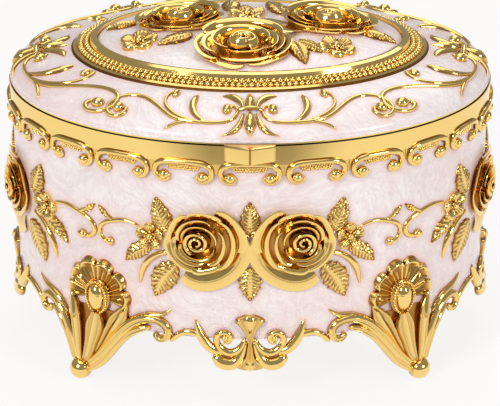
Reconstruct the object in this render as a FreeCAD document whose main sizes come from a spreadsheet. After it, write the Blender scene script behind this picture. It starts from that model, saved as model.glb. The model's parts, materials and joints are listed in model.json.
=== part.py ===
# An oval ballerina jewellery box: an enamelled body and lid with cast gold ornament, a flocked
# tray, a wind-up movement under its deck and a dancer who turns when the lid is open.
# Millimetres, +Z up, front at -Y, origin under the middle of the box where its feet stand.
import FreeCAD, Part
import math
import os
import re
from types import SimpleNamespace

V = FreeCAD.Vector

# Driving sizes: name, value in millimetres, degrees or pieces, and what it is.
SIZES = (
    ("half_width", 70, "body wall, half its width"),
    ("half_depth", 56, "body wall, half its depth"),
    ("seam_height", 80, "top of the body"),
    ("wall", 2.5, "body wall thickness"),
    ("skirt_height", 21, "bottom edge of the body wall above the table"),
    ("band_height", 5.5, "gold band under the seam"),
    ("band_proud", 0.7, "how far the band stands out from the wall"),
    ("spigot_depth", 3, "how far the band reaches down inside the wall"),
    ("spigot_wall", 1.2, "wall of that spigot"),
    ("fit", 0.2, "gap between pieces that slip together"),
    ("ledge_width", 5, "ledge inside the wall that the base plate screws to"),
    ("ledge_thick", 2, "thickness of that ledge"),
    ("plate_recess", 1.5, "base plate above the bottom edge"),
    ("plate_thick", 2, "base plate thickness"),
    ("screw_radius", 1.2, "shank of the screws"),
    ("screw_head_radius", 2.1, "head of the screws"),
    ("screw_head_height", 1.1, "height of the screw heads"),
    ("plate_screw_angle", 62, "place of the base plate screws round the oval"),
    ("tray_wall", 1.4, "wall of the flocked tray"),
    ("tray_drop", 4, "tray rim below the seam"),
    ("deck_half", 30, "half the width of the deck over the movement"),
    ("deck_gap", 0.9, "room between the music cylinder and the deck"),
    ("spindle_radius", 1.5, "spindle that carries the stage"),
    ("spindle_hole_radius", 2.6, "hole for the spindle in the deck"),
    ("stage_radius", 9, "turning stage disc"),
    ("stage_thick", 1.2, "stage disc thickness"),
    ("stage_lift", 0.5, "stage disc above the deck"),
    ("stage_gap", 0.4, "gap between the disc and its ring"),
    ("stage_ring_width", 3.2, "ring round the stage"),
    ("stage_ring_height", 2.2, "height of that ring"),
    ("bed_thick", 2.5, "bedplate of the movement"),
    ("bed_half_width", 27, "bedplate, half its width"),
    ("bed_front", 47.5, "bedplate, reach to the front"),
    ("bed_rear", 14, "bedplate, reach to the rear"),
    ("barrel_radius", 10.5, "spring barrel"),
    ("barrel_height", 8, "spring barrel height"),
    ("wheel_gap", 0.3, "spring barrel above the bedplate"),
    ("wheel_thick", 1.5, "great wheel thickness"),
    ("wheel_radius", 12.4, "great wheel"),
    ("crown_width", 2.4, "length of the crown teeth"),
    ("crown_height", 1.3, "height of the crown teeth"),
    ("crown_teeth", 40, "crown teeth"),
    ("pinion_teeth", 10, "teeth of the cylinder's pinion"),
    ("pinion_radius", 3.2, "tip radius of that pinion"),
    ("pinion_depth", 1.2, "tooth depth of that pinion"),
    ("tooth_gap", 0.3, "pinion tips above the great wheel"),
    ("cylinder_radius", 5, "music cylinder"),
    ("cylinder_length", 18, "music cylinder length"),
    ("arbor_radius", 1, "arbors of the cylinder and the fan"),
    ("bush_gap", 0.05, "running clearance round the arbors"),
    ("bracket_thick", 1.4, "bracket plates"),
    ("drive_teeth", 32, "teeth of the wheel that drives the fan"),
    ("drive_radius", 4.9, "tip radius of that wheel"),
    ("fan_teeth", 10, "teeth of the fan's pinion"),
    ("fan_pinion_radius", 1.72, "tip radius of the fan's pinion"),
    ("fan_tooth_depth", 0.5, "tooth depth of the fan's gears"),
    ("fan_tooth_gap", 0.14, "tips of the fan's gears to the roots they reach into"),
    ("gear_width", 1.8, "face width of the gears"),
    ("fan_radius", 4.6, "wings of the fan"),
    ("fan_length", 5, "length of the fan's wings"),
    ("fan_thick", 0.6, "thickness of the fan's wings"),
    ("side_gap", 0.5, "end play along the arbors"),
    ("comb_thick", 1, "comb thickness"),
    ("comb_gap", 0.6, "comb tips to the cylinder"),
    ("tine_length", 10, "comb tines"),
    ("comb_base", 8, "solid part of the comb"),
    ("tine_count", 18, "tines"),
    ("tine_slot", 0.3, "slot between two tines"),
    ("key_shaft_radius", 1.8, "arbor of the winding key"),
    ("key_drop", 3.5, "top of the key below the base plate"),
    ("key_bar_height", 5, "socket of the key"),
    ("key_wing_radius", 5, "rounded wings of the key"),
    ("key_thick", 2.2, "thickness of the key"),
    ("stop_radius", 1, "stop pin"),
    ("stop_across", 18, "stop pin, place across"),
    ("stop_behind", 44, "stop pin, place behind the middle"),
    ("stop_reach", 2.1, "tip of the stop pin above the bottom of the lid"),
    ("stop_travel", 4, "rise of the stop pin"),
    ("stop_bush_radius", 2.4, "bush round the stop pin"),
    ("stop_bush_height", 2.5, "height of that bush above the deck"),
    ("stop_foot_radius", 2.2, "foot of the stop pin"),
    ("seam_gap", 0.3, "dark gap between body and lid"),
    ("lip_thick", 1, "gold lip of the lid"),
    ("lip_proud", 0.3, "lip beyond the wall"),
    ("lip_width", 3.2, "lip, from the wall inwards"),
    ("lid_rise", 7.1, "lid slope, height"),
    ("lid_turn", 75, "angle of the slope's curve, degrees"),
    ("lid_thick", 2, "lid wall"),
    ("ring_inset", 18.6, "bead frame in from the wall"),
    ("lid_hole_inset", 29, "hole in the lid under the panel, in from the wall"),
    ("frame_width", 6.8, "bead frame, from its outer edge to the panel"),
    ("frame_base", 1, "height of the frame's outer edge"),
    ("frame_crest", 3.4, "height of the frame's inner crest"),
    ("frame_edge", 1.2, "width of its smooth edges"),
    ("panel_edge", 1.8, "edge of the panel above the lid wall"),
    ("panel_crown", 4.5, "rise of the panel"),
    ("lining_thick", 0.8, "flocked lining of the lid"),
    ("mirror_thick", 1.6, "mirror in the lid"),
    ("tab_width", 14, "thumb tab"),
    ("tab_height", 3.6, "thumb tab height"),
    ("tab_reach", 5, "thumb tab, from the wall to its ridge"),
    ("tab_root", 1.6, "thumb tab, its sides"),
    ("hinge_radius", 2, "hinge knuckles"),
    ("hinge_pin_radius", 0.8, "hinge pin"),
    ("hinge_offset", 2.4, "hinge pin behind the band"),
    ("hinge_half", 12, "hinge, half its width"),
    ("hinge_middle", 4, "lid knuckle, half its width"),
    ("hinge_leaf", 1.2, "hinge leaf thickness"),
    ("hinge_reach", 5, "hinge leaf, height"),
    ("rose_radius", 11.3, "roses on the body"),
    ("rose_height", 6, "their height"),
    ("rose_apart", 12.7, "each rose from the middle of its spray"),
    ("spray_height", 49.5, "middle of the sprays"),
    ("lid_rose_radius", 13.2, "front rose on the lid"),
    ("lid_rose_height", 5, "height of the roses above the panel"),
    ("flower_radius", 4, "small flowers"),
    ("flower_height", 1.8, "their height"),
    ("leaf_thick", 1.2, "leaves"),
    ("scroll_radius", 0.75, "scroll stems"),
    ("seat_gap", 0.05, "backs of the scroll stems above what they lie on"),
    ("arch_count", 24, "arches of the frieze"),
    ("arch_drop", 4.6, "arch, from its top to its curls"),
    ("foot_angle", 38.5, "feet, round the oval from the front"),
    ("ball_radius", 3.4, "ball of a foot"),
    ("ball_flat", 0.35, "how much of the ball is cut flat"),
    ("ball_out", 0.4, "middle of the ball beyond the wall"),
    ("ball_aside", 6.6, "ball beside its palmette, towards the nearest side of the box"),
    ("palm_height", 29, "middle of a palmette"),
    ("palm_radius", 10.6, "palmette"),
    ("palm_thick", 3, "palmette thickness"),
    ("palm_lobes", 7, "lobes of a palmette"),
    ("apron_top", 28.5, "top of the apron pendants"),
    ("apron_drop", 16.8, "height of the apron pendants"),
    ("apron_half", 5.2, "half the width of their shell"),
    ("apron_thick", 2.4, "their thickness"),
    ("side_stretch", 1.35, "side aprons are this much wider than the front one"),
    ("dancer_height", 33, "dancer, from the stage to the fingertips"),
    ("skirt_radius", 10.5, "tutu"),
    ("skirt_thick", 0.9, "tutu thickness"),
)

# Places that follow from the driving sizes.
LEVELS = (
    ("plate_bottom", "skirt_height + plate_recess"),
    ("plate_top", "skirt_height + plate_recess + plate_thick"),
    ("ledge_top", "plate_top + ledge_thick"),
    ("band_bottom", "seam_height - band_height"),
    ("tray_inset", "wall + spigot_wall + 2 * fit"),
    ("tray_hollow", "tray_inset + tray_wall"),
    ("tray_top", "seam_height - tray_drop"),
    ("bed_top", "plate_top + bed_thick"),
    ("barrel_bottom", "bed_top + wheel_gap"),
    ("wheel_bottom", "barrel_bottom + barrel_height"),
    ("wheel_top", "wheel_bottom + wheel_thick"),
    ("axle_height", "wheel_top + tooth_gap + pinion_radius"),
    ("deck_bottom", "axle_height + cylinder_radius + deck_gap"),
    ("deck_top", "deck_bottom + tray_wall"),
    ("stage_bottom", "deck_top + stage_lift"),
    ("stage_top", "stage_bottom + stage_thick"),
    ("pinion_front", "wheel_radius + side_gap"),
    ("bracket_rear", "pinion_front + side_gap"),
    ("cylinder_rear", "bracket_rear + bracket_thick + side_gap"),
    ("cylinder_front", "cylinder_rear + cylinder_length"),
    ("bracket_front", "cylinder_front + side_gap"),
    ("drive_rear", "bracket_front + bracket_thick + side_gap"),
    ("drive_front", "drive_rear + gear_width"),
    ("fan_bracket_rear", "drive_front + side_gap"),
    ("fan_rear", "fan_bracket_rear + bracket_thick + side_gap"),
    ("fan_front", "fan_rear + fan_length"),
    ("fan_bracket_front", "fan_front + side_gap"),
    ("fan_across", "drive_radius + fan_pinion_radius - fan_tooth_depth + fan_tooth_gap"),
    ("comb_front", "cylinder_radius + comb_gap"),
    ("comb_bottom", "axle_height - comb_thick / 2"),
    ("lid_bottom", "seam_height + seam_gap"),
    ("slope_bottom", "lid_bottom + lip_thick"),
    ("slope_top", "slope_bottom + lid_rise"),
    ("panel_inset", "ring_inset + frame_width"),
    ("panel_base", "slope_top + panel_edge"),
    ("mirror_inset", "ring_inset + lid_thick + 2 * fit"),
    ("hinge_axis", "half_depth + band_proud + hinge_offset"),
    ("hinge_height", "seam_height + seam_gap / 2"),
)

doc = FreeCAD.newDocument("jewellery_box")
NAMES = {row[0]: "Sizes" for row in SIZES} | {row[0]: "Levels" for row in LEVELS}
nodes = {}


def formula(text):
    """A formula over the sizes and levels, in the form that an expression takes."""
    return re.sub(r"[a-z]\w*", lambda m: f"{NAMES[m[0]]}.{m[0]}" if m[0] in NAMES else m[0], str(text))


def make_tables():
    """Write the sizes into a sheet, work the levels out from them, and return all as numbers."""
    sheet = doc.addObject("Spreadsheet::Sheet", "Sizes")
    for row, (name, value, meaning) in enumerate(SIZES, start=1):
        sheet.set(f"A{row}", name)
        sheet.set(f"B{row}", str(value))
        sheet.setAlias(f"B{row}", name)
        sheet.set(f"C{row}", meaning)
    levels = doc.addObject("App::VarSet", "Levels")
    for name, text in LEVELS:
        levels.addProperty("App::PropertyFloat", name)
        levels.setExpression(name, formula(text))
    doc.recompute()
    numbers = {row[0]: float(sheet.get(row[0])) for row in SIZES}
    numbers |= {row[0]: float(getattr(levels, row[0])) for row in LEVELS}
    return SimpleNamespace(**numbers)


Z = make_tables()


# Bound objects: every size is an expression over the sheet.
def bound(kind, name, place=None, turn=None, **sizes):
    """A document object whose properties and place are bound to formulas."""
    thing = doc.addObject(kind, name)
    if turn:
        thing.Placement = FreeCAD.Placement(V(), FreeCAD.Rotation(V(*turn[0]), turn[1]))
    for key, text in sizes.items():
        thing.setExpression(key, formula(text))
    for axis, text in zip("xyz", place or ()):
        thing.setExpression(f"Placement.Base.{axis}", formula(text))
    return thing


def oval(name, inset, height, share=1):
    """An ellipse at a height, drawn in from the body wall and scaled by a share."""
    return bound("Part::Ellipse", name, (0, 0, height), MajorRadius=f"(half_width - ({inset})) * {share}",
                 MinorRadius=f"(half_depth - ({inset})) * {share}")


def prism(name, inset, bottom, top):
    """An upright oval block."""
    block = bound("Part::Extrusion", name, LengthFwd=f"({top}) - ({bottom})")
    block.Base = oval(name + "_outline", inset, bottom)
    block.DirMode = "Custom"
    block.Dir = V(0, 0, 1)
    block.Solid = True
    return block


def loft(name, sections, ruled=False):
    """A solid through a stack of ellipses."""
    skin = doc.addObject("Part::Loft", name)
    skin.Sections = sections
    skin.Solid = True
    skin.Ruled = ruled
    return skin


def cut(name, base, *tools):
    """One solid less others."""
    result = doc.addObject("Part::Cut", name)
    result.Base = base
    result.Tool = tools[0] if len(tools) == 1 else fuse(name + "_tools", *tools)
    return result


def fuse(name, *shapes):
    """Solids joined to one."""
    result = doc.addObject("Part::MultiFuse", name)
    result.Shapes = list(shapes)
    return result


def common(name, *shapes):
    """What solids have in common."""
    result = doc.addObject("Part::MultiCommon", name)
    result.Shapes = list(shapes)
    return result


def rod(name, radius, length, place, axis="Z"):
    """A round rod along X, Y or Z from its place."""
    turn = {"X": ((0, 1, 0), 90), "Y": ((1, 0, 0), -90), "Z": None}[axis]
    return bound("Part::Cylinder", name, place, turn, Radius=radius, Height=length)


def block(name, low, high):
    """A box between two corners."""
    span = [f"({b}) - ({a})" for a, b in zip(low, high)]
    return bound("Part::Box", name, low, Length=span[0], Width=span[1], Height=span[2])


def node(name, thing):
    """Name a finished piece; its label is its file's name."""
    thing.Label = name
    nodes[name] = thing
    return thing


def shaped(name, shape):
    """A finished piece whose shape is set directly."""
    return node(name, set_shape(name, shape))


def set_shape(name, shape):
    """A document object for a shape worked out in code."""
    thing = doc.addObject("Part::Feature", name)
    thing.Shape = shape
    return thing


def profile_body(name, plane, points, place=None):
    """A body with one closed sketch whose corners are bound to formulas."""
    body = doc.addObject("PartDesign::Body", name)
    for axis, text in zip("xyz", place or ()):
        body.setExpression(f"Placement.Base.{axis}", formula(text))
    return body, add_sketch(body, name + "_sketch", points, plane)


def add_sketch(body, name, points, plane="XY_Plane"):
    """A closed sketch on one of a body's planes; its corners are bound to formulas."""
    sketch = body.newObject("Sketcher::SketchObject", name)
    planes = {feature.Role: feature for feature in body.Origin.OriginFeatures}
    sketch.AttachmentSupport = (planes[plane], [""])
    sketch.MapMode = "FlatFace"
    helper = doc.addObject("App::VarSet", name + "_corners")
    for index, corner in enumerate(points):
        for axis, text in zip("uv", corner):
            helper.addProperty("App::PropertyFloat", f"{axis}{index}")
            helper.setExpression(f"{axis}{index}", formula(text))
    doc.recompute()
    corners = [V(getattr(helper, f"u{i}"), getattr(helper, f"v{i}"), 0) for i in range(len(points))]
    sketch.addGeometry([Part.LineSegment(a, b) for a, b in zip(corners, corners[1:] + corners[:1])])
    constrain_corners(sketch, points, corners)
    return sketch


def constrain_corners(sketch, points, corners):
    """Join the sketch's lines and hold each corner by its two distances from the origin."""
    from Sketcher import Constraint
    count = len(points)
    for index in range(count):
        sketch.addConstraint(Constraint("Coincident", index, 2, (index + 1) % count, 1))
    for index, (corner, texts) in enumerate(zip(corners, points)):
        for kind, value, text in zip(("DistanceX", "DistanceY"), corner, texts):
            row = sketch.addConstraint(Constraint(kind, -1, 1, index, 1, value))
            sketch.setExpression(f"Constraints[{row}]", formula(text))


def turned(name, points, place=None):
    """A body of revolution about Z, from corners given as radius and height."""
    body, sketch = profile_body(name, "XZ_Plane", points, place)
    turn = body.newObject("PartDesign::Revolution", name + "_turn")
    turn.Profile = sketch
    turn.ReferenceAxis = (sketch, ["V_Axis"])
    turn.Angle = 360
    body.Tip = turn
    return node(name, body)


def padded(name, plane, points, length, place=None, midplane=False):
    """A body padded from an outline."""
    body, sketch = profile_body(name, plane, points, place)
    pad = body.newObject("PartDesign::Pad", name + "_pad")
    pad.Profile = sketch
    pad.setExpression("Length", formula(length))
    if midplane:
        pad.SideType = "Symmetric"
    body.Tip = pad
    return body, pad


# The oval wall, the lid slope and the lid panel as surfaces that ornament sits on.
class Wall:
    """The body wall: along is measured from an axis of the oval, up from the table."""

    def __init__(self, axis_angle, stretch=1.0):
        self.curve = Part.Ellipse(V(), Z.half_width, Z.half_depth)
        self.start = math.radians(axis_angle - 90)
        self.stretch = stretch

    def turn_at(self, along):
        return self.curve.parameterAtDistance(along * self.stretch, self.start) if along else self.start

    def place(self, along, height, lift=0.0):
        turn = self.turn_at(along)
        return self.curve.value(turn) + self.normal(along, height) * lift + V(0, 0, height)

    def normal(self, along, height):
        tangent = self.curve.tangent(self.turn_at(along))[0]
        return V(tangent.y, -tangent.x, 0).normalize()


class Slope:
    """The lid slope: along is measured on the wall's oval, up from the lip towards the bead frame."""

    def __init__(self, axis_angle):
        self.curve = Part.Ellipse(V(), Z.half_width, Z.half_depth)
        self.start = math.radians(axis_angle - 90)

    def turn_at(self, along):
        return self.curve.parameterAtDistance(along, self.start) if along else self.start

    def place(self, along, up, lift=0.0):
        turn = self.turn_at(along)
        inset, height = slope_at(up)
        foot = V((Z.half_width - inset) * math.cos(turn), (Z.half_depth - inset) * math.sin(turn), height)
        return foot + self.normal(along, up) * lift

    def normal(self, along, up):
        tangent = self.curve.tangent(self.turn_at(along))[0]
        outward = V(tangent.y, -tangent.x, 0).normalize()
        step = 0.2
        low, high = slope_at(up - step), slope_at(up + step)
        return (outward * (high[1] - low[1]) + V(0, 0, high[0] - low[0])).normalize()


def slope_at(up):
    """Inset and height of the lid slope at a distance up from the lip."""
    end = math.radians(Z.lid_turn)
    angle = end * up / math.hypot(Z.ring_inset, Z.lid_rise)
    inset = Z.ring_inset * (1 - math.cos(angle)) / (1 - math.cos(end))
    return inset, Z.slope_bottom + Z.lid_rise * math.sin(angle) / math.sin(end)


class Panel:
    """The domed lid panel: across and behind are measured from its middle."""

    def place(self, across, behind, lift=0.0):
        wide, deep = Z.half_width - Z.panel_inset, Z.half_depth - Z.panel_inset
        rest = 1 - (across / wide) ** 2 - (behind / deep) ** 2
        height = Z.panel_base + Z.panel_crown * math.sqrt(max(rest, 0))
        return V(across, behind, height) + self.normal(across, behind) * lift

    def normal(self, across, behind):
        return V(0, 0, 1)


# Ornament forms.
def local_frame(surface, along, up):
    """The tangent frame of a surface at a place: point, sideways, upwards and outwards."""
    step = 0.5
    normal = surface.normal(along, up)
    sideways = (surface.place(along + step, up) - surface.place(along - step, up)).normalize()
    upwards = normal.cross(sideways).normalize()
    return surface.place(along, up), sideways, upwards, normal


def ring_loft(frame, rings, count=30):
    """A ruled solid through closed rings; each ring gives, for an angle, its two offsets and its height."""
    origin, sideways, upwards, normal = frame
    wires = []
    for ring in rings:
        points = []
        for step in range(count):
            across, along, height = ring(2 * math.pi * step / count)
            points.append(origin + sideways * across + upwards * along + normal * height)
        curve = Part.BSplineCurve()
        curve.interpolate(points, True)
        wires.append(Part.Wire(curve.toShape()))
    return Part.makeLoft(wires, True, True)


def round_ring(radius, height, waves=0, depth=0.0, phase=0.0, shift=(0.0, 0.0), lift=0.0):
    """A ring with petal waves: shift moves its middle, lift tilts its petals."""
    def ring(angle):
        wave = math.cos(waves * angle + phase) if waves else 0.0
        reach = radius * (1 + depth * wave)
        return (shift[0] + reach * math.cos(angle), shift[1] + reach * math.sin(angle), height + lift * wave)
    return ring


# Each row of a rose: radius, height, petals, depth of their waves, as shares of the rose.
ROSE_ROWS = (
    (0.80, -0.20, 0, 0.00), (0.95, 0.12, 5, 0.05), (1.00, 0.34, 5, 0.06), (0.84, 0.44, 5, 0.04),
    (0.74, 0.34, 4, 0.02), (0.78, 0.56, 4, 0.05), (0.63, 0.68, 4, 0.04), (0.52, 0.58, 3, 0.02),
    (0.54, 0.78, 3, 0.05), (0.40, 0.88, 3, 0.04), (0.31, 0.76, 3, 0.02), (0.30, 0.96, 3, 0.05),
    (0.17, 1.00, 3, 0.04), (0.05, 0.86, 0, 0.00))


def rose(surface, along, up, radius, height, lean):
    """A full rose: rows of petals round a tight heart that leans to one side and up."""
    turn_step = 2.4
    rings = []
    for row, (reach, rise, petals, depth) in enumerate(ROSE_ROWS):
        shift = (lean[0] * max(rise, 0) * radius, lean[1] * max(rise, 0) * radius)
        level = rise * height
        flat = row in (0, len(ROSE_ROWS) - 1)
        rings.append(round_ring(reach * radius, level, petals, depth, turn_step * row, shift,
                                0 if flat else depth * height))
    return ring_loft(local_frame(surface, along, up), rings)


def flower(surface, along, up):
    """A small flower of five round petals with a button heart."""
    petals = 5
    rows = ((0.92, -0.6, 0.16), (1.00, 0.45, 0.16), (0.80, 0.85, 0.14), (0.36, 0.50, 0.04), (0.30, 0.90, 0),
            (0.12, 1.10, 0))
    rings = [round_ring(reach * Z.flower_radius, rise * Z.flower_height, petals, depth)
             for reach, rise, depth in rows]
    return ring_loft(local_frame(surface, along, up), rings)


def leaf(surface, base, tip, half, thick=None):
    """A pointed leaf with a raised midrib, from its base to its tip."""
    thick = thick or Z.leaf_thick
    sunk = thick
    stations = ((0.02, 0.25), (0.2, 0.75), (0.42, 1.0), (0.68, 0.78), (0.88, 0.36), (0.99, 0.08))
    wires = []
    run = (tip[0] - base[0], tip[1] - base[1])
    for share, width in stations:
        along, up = base[0] + run[0] * share, base[1] + run[1] * share
        middle, normal = surface.place(along, up), surface.normal(along, up)
        step = 0.02
        ahead = surface.place(along + run[0] * step, up + run[1] * step) - middle
        side = normal.cross(ahead).normalize()
        left = middle + side * half * width - normal * sunk
        right = middle - side * half * width - normal * sunk
        top = middle + normal * thick * (0.35 + 0.65 * width)
        front, back = Part.Arc(left, top, right), Part.LineSegment(right, left)
        wires.append(Part.Wire([front.toShape(), back.toShape()]))
    return Part.makeLoft(wires, True, False)


def smooth_path(places):
    """A smooth curve through places, and its parameter at each of them."""
    marks = [0.0]
    for before, after in zip(places, places[1:]):
        marks.append(marks[-1] + (after - before).Length)
    path = Part.BSplineCurve()
    path.interpolate(Points=places, Parameters=marks)
    return path, marks


def stroke(surface, points, per_point=2):
    """A scroll stem of changing width, flat on its surface: points are along, up, half width and lift."""
    rows = [(*point, 0.0)[:4] for point in points]
    path, marks = smooth_path([V(along, up, 0) for along, up, _, _ in rows])
    wires = []
    for index, (row, following) in enumerate(zip(rows, rows[1:])):
        for step in range(per_point):
            share = step / per_point
            at = marks[index] + (marks[index + 1] - marks[index]) * share
            half, lift = (a + (b - a) * share for a, b in zip(row[2:], following[2:]))
            wires.append(stem_section(surface, path, at, half, lift))
    wires.append(stem_section(surface, path, marks[-1], *rows[-1][2:]))
    return Part.makeLoft(wires, True, True)


def stem_section(surface, path, at, half, lift):
    """One section of a scroll stem: a flat back a hair above the surface and a round front."""
    spot, ahead = path.value(at), path.tangent(at)[0]
    step, rise = 0.05, 1.2
    base = lift + Z.seat_gap
    middle = surface.place(spot.x, spot.y, base)
    forward = surface.place(spot.x + ahead.x * step, spot.y + ahead.y * step, base) - middle
    normal = surface.normal(spot.x, spot.y)
    side = normal.cross(forward).normalize() * half
    arc = Part.Arc(middle + side, middle + normal * half * rise, middle - side).toShape()
    back = Part.LineSegment(middle - side, middle + side).toShape()
    return Part.Wire([arc, back])


def curl(along, up, start, turns, radius):
    """A curl: its middle and radius in millimetres, its first angle in degrees and its turns."""
    return SimpleNamespace(along=along, up=up, start=start, turns=turns, radius=radius)


def curl_points(end, thick, along=0.0, up=0.0):
    """Points of a curl, moved along and up, that winds in from its first angle and thins towards its end."""
    steps = 6
    close, thin = 0.5, 0.2
    rows = []
    for step in range(steps + 1):
        share = step / steps
        angle = math.radians(end.start) + 2 * math.pi * end.turns * share
        reach = end.radius * (1 - close * share)
        rows.append((along + end.along + reach * math.cos(angle), up + end.up + reach * math.sin(angle),
                     thick * (1 - thin * share)))
    return rows


def seated(shapes, *carriers):
    """Cut the backs of ornaments to what they sit on; keep each one's outer piece."""
    result = []
    for shape in shapes:
        for carrier in carriers:
            shape = shape.cut(carrier)
        result.append(max(shape.Solids, key=lambda solid: solid.Volume))
    return result


def mirrored(shapes, normal):
    """Solids and their mirror images through the origin."""
    return list(shapes) + [shape.mirror(V(), normal) for shape in shapes]


ACROSS, BEHIND, UP = V(1, 0, 0), V(0, 1, 0), V(0, 0, 1)


def half_turn(shape):
    """The same ornament on the other side of the box."""
    other = shape.copy()
    other.rotate(V(), UP, 180)
    return other


# Body: wall, band, base plate.
def make_body():
    """The enamelled wall with its ledge, the gold band on it and the base plate in it."""
    outer = prism("wall_outer", 0, "skirt_height", "band_bottom")
    hollow = prism("wall_hollow", "wall", "ledge_top", "band_bottom + 1")
    recess = prism("wall_recess", "wall", "skirt_height - 1", "plate_top")
    mouth = prism("wall_mouth", "wall + ledge_width", "plate_top - 1", "ledge_top + 1")
    holes = plate_holes("ledge_hole", "screw_radius")
    node("body_shell", cut("wall_shell", outer, hollow, recess, mouth, *holes))
    band = prism("band_outer", "-band_proud", "band_bottom", "seam_height")
    spigot = prism("spigot_outer", "wall + fit", "band_bottom - spigot_depth", "seam_height")
    throat = prism("rim_throat", "wall + fit + spigot_wall", "band_bottom - spigot_depth - 1",
                   "seam_height + 1")
    node("rim_band", cut("rim", fuse("rim_blank", band, spigot), throat))
    plate = prism("plate_blank", "wall + fit", "plate_bottom", "plate_top")
    shaft = rod("plate_key_hole", "key_shaft_radius + 2 * fit", "plate_thick + 2", (0, 0, "plate_bottom - 1"))
    node("base_plate", cut("plate", plate, shaft, *plate_holes("plate_hole", "screw_radius + fit"),
                           *bed_holes("plate_bed_hole", "screw_radius + fit")))


def plate_places():
    """Where the base plate screws go, on the middle of the ledge."""
    turn = math.radians(Z.plate_screw_angle)
    for side in (-1, 1):
        for end in (-1, 1):
            yield (f"{side * math.sin(turn):.6f} * (half_width - wall - ledge_width / 2)",
                   f"{end * math.cos(turn):.6f} * (half_depth - wall - ledge_width / 2)")


def bed_places():
    """Where the movement is screwed to the base plate."""
    margin = "2 * screw_head_radius"
    for side in ("-", ""):
        yield (f"{side}(bed_half_width - {margin})", f"bed_rear - {margin}")
        yield (f"{side}(bed_half_width - {margin})", f"{margin} - bed_front")


def plate_holes(name, radius):
    """Upright holes for the base plate screws."""
    return [rod(f"{name}_{i}", radius, "plate_thick + ledge_thick + 2", (x, y, "plate_bottom - 1"))
            for i, (x, y) in enumerate(plate_places())]


def bed_holes(name, radius):
    """Upright holes for the screws of the movement."""
    return [rod(f"{name}_{i}", radius, "plate_thick + bed_thick + 2", (x, y, "plate_bottom - 1"))
            for i, (x, y) in enumerate(bed_places())]


def screws(name, places, bottom, length):
    """Screws driven upwards: a head under a face and a shank into the piece above."""
    pieces = []
    for i, (x, y) in enumerate(places):
        head = rod(f"{name}_head_{i}", "screw_head_radius", "screw_head_height",
                   (x, y, f"{bottom} - screw_head_height"))
        shank = rod(f"{name}_shank_{i}", "screw_radius", length, (x, y, bottom))
        pieces.append(fuse(f"{name}_{i}", head, shank))
    group = doc.addObject("Part::Compound", name + "_group")
    group.Links = pieces
    return node(name, group)


# Tray, stage and dancer.
def make_tray():
    """The flocked tray: two wells, a deck between them and room for the movement under it."""
    outer = prism("tray_outer", "tray_inset", "ledge_top", "tray_top")
    upper = prism("tray_upper", "tray_hollow", "deck_top", "tray_top + 1")
    well = prism("tray_well", "tray_hollow", "ledge_top + tray_wall", "deck_top + 1")
    divider = block("tray_divider", ("-deck_half - tray_wall", "-half_depth", "ledge_top"),
                    ("deck_half + tray_wall", "half_depth", "deck_top + 2"))
    wells = cut("tray_wells", well, divider)
    under = common("tray_under", prism("tray_room", "tray_hollow", "ledge_top - 1", "deck_bottom"),
                   block("tray_span", ("-deck_half", "-half_depth", "ledge_top - 2"),
                         ("deck_half", "half_depth", "deck_bottom + 1")))
    spindle = rod("tray_spindle_hole", "spindle_hole_radius", "tray_wall + 2", (0, 0, "deck_bottom - 1"))
    stop = rod("tray_stop_hole", "stop_bush_radius - fit", "tray_wall + 2",
               ("stop_across", "stop_behind", "deck_bottom - 1"))
    node("tray", cut("tray_body", outer, upper, wells, under, spindle, stop))
    near = "stage_radius + stage_gap"
    far = f"{near} + stage_ring_width"
    turned("stage_ring", ((near, "0"), (far, "0"), (far, "stage_ring_height / 3"),
                          (f"{near} + stage_ring_width / 2", "stage_ring_height"),
                          (near, "stage_ring_height")), (0, 0, "deck_top"))
    turned("stage_disc", (("0", "0"), ("stage_radius", "0"), ("stage_radius", "stage_thick * 0.7"),
                          ("stage_radius - stage_thick * 0.3", "stage_thick"), ("0", "stage_thick")),
           (0, 0, "stage_bottom"))
    node("stage_spindle", rod("spindle", "spindle_radius", "stage_bottom - wheel_top", (0, 0, "wheel_top")))


def tapered(points):
    """A limb: a smooth solid through round sections given as centre, radius along X and radius along Y."""
    wires = []
    for centre, wide, deep in points:
        major, minor = (wide, deep) if wide > deep else (deep, wide)
        axis = ACROSS if wide > deep else BEHIND
        other = BEHIND if wide > deep else -ACROSS
        wires.append(Part.Wire(Part.Ellipse(centre + axis * major, centre + other * minor, centre).toShape()))
    return Part.makeLoft(wires, True, False)


def tube_through(points):
    """A round limb of changing radius through places in space."""
    path, marks = smooth_path([place for place, _ in points])
    wires = []
    for at, (_, radius) in zip(marks, points):
        wires.append(Part.Wire(Part.Circle(path.value(at), path.tangent(at)[0], radius).toShape()))
    return Part.makeLoft(wires, True, False)


# The dancer in shares of the figure's height. Trunk and standing leg: behind, up, half width, half depth.
DANCER_TRUNK = (
    (0, 0.0, 0.022, 0.020), (0, 0.05, 0.020, 0.018), (0, 0.12, 0.024, 0.023), (0.004, 0.2, 0.033, 0.032),
    (0, 0.27, 0.028, 0.027), (0, 0.36, 0.042, 0.040), (0, 0.44, 0.070, 0.052), (0, 0.52, 0.048, 0.038),
    (0, 0.6, 0.066, 0.048), (0, 0.65, 0.074, 0.040), (0, 0.69, 0.030, 0.026), (0, 0.73, 0.024, 0.023))
# Raised arm and bent leg: across, behind, up, radius. Head and bun: behind, up, radius.
DANCER_ARM = ((0.055, 0, 0.645, 0.020), (0.13, -0.01, 0.72, 0.018), (0.15, -0.02, 0.82, 0.015),
              (0.10, -0.03, 0.93, 0.013), (0.03, -0.03, 0.985, 0.010))
DANCER_LEG = ((0.03, -0.01, 0.42, 0.038), (0.12, -0.03, 0.37, 0.033), (0.17, -0.04, 0.30, 0.027),
              (0.11, -0.035, 0.24, 0.026), (0.035, -0.03, 0.19, 0.015))
DANCER_BALLS = ((-0.006, 0.775, 0.056), (0.035, 0.825, 0.03))
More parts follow.
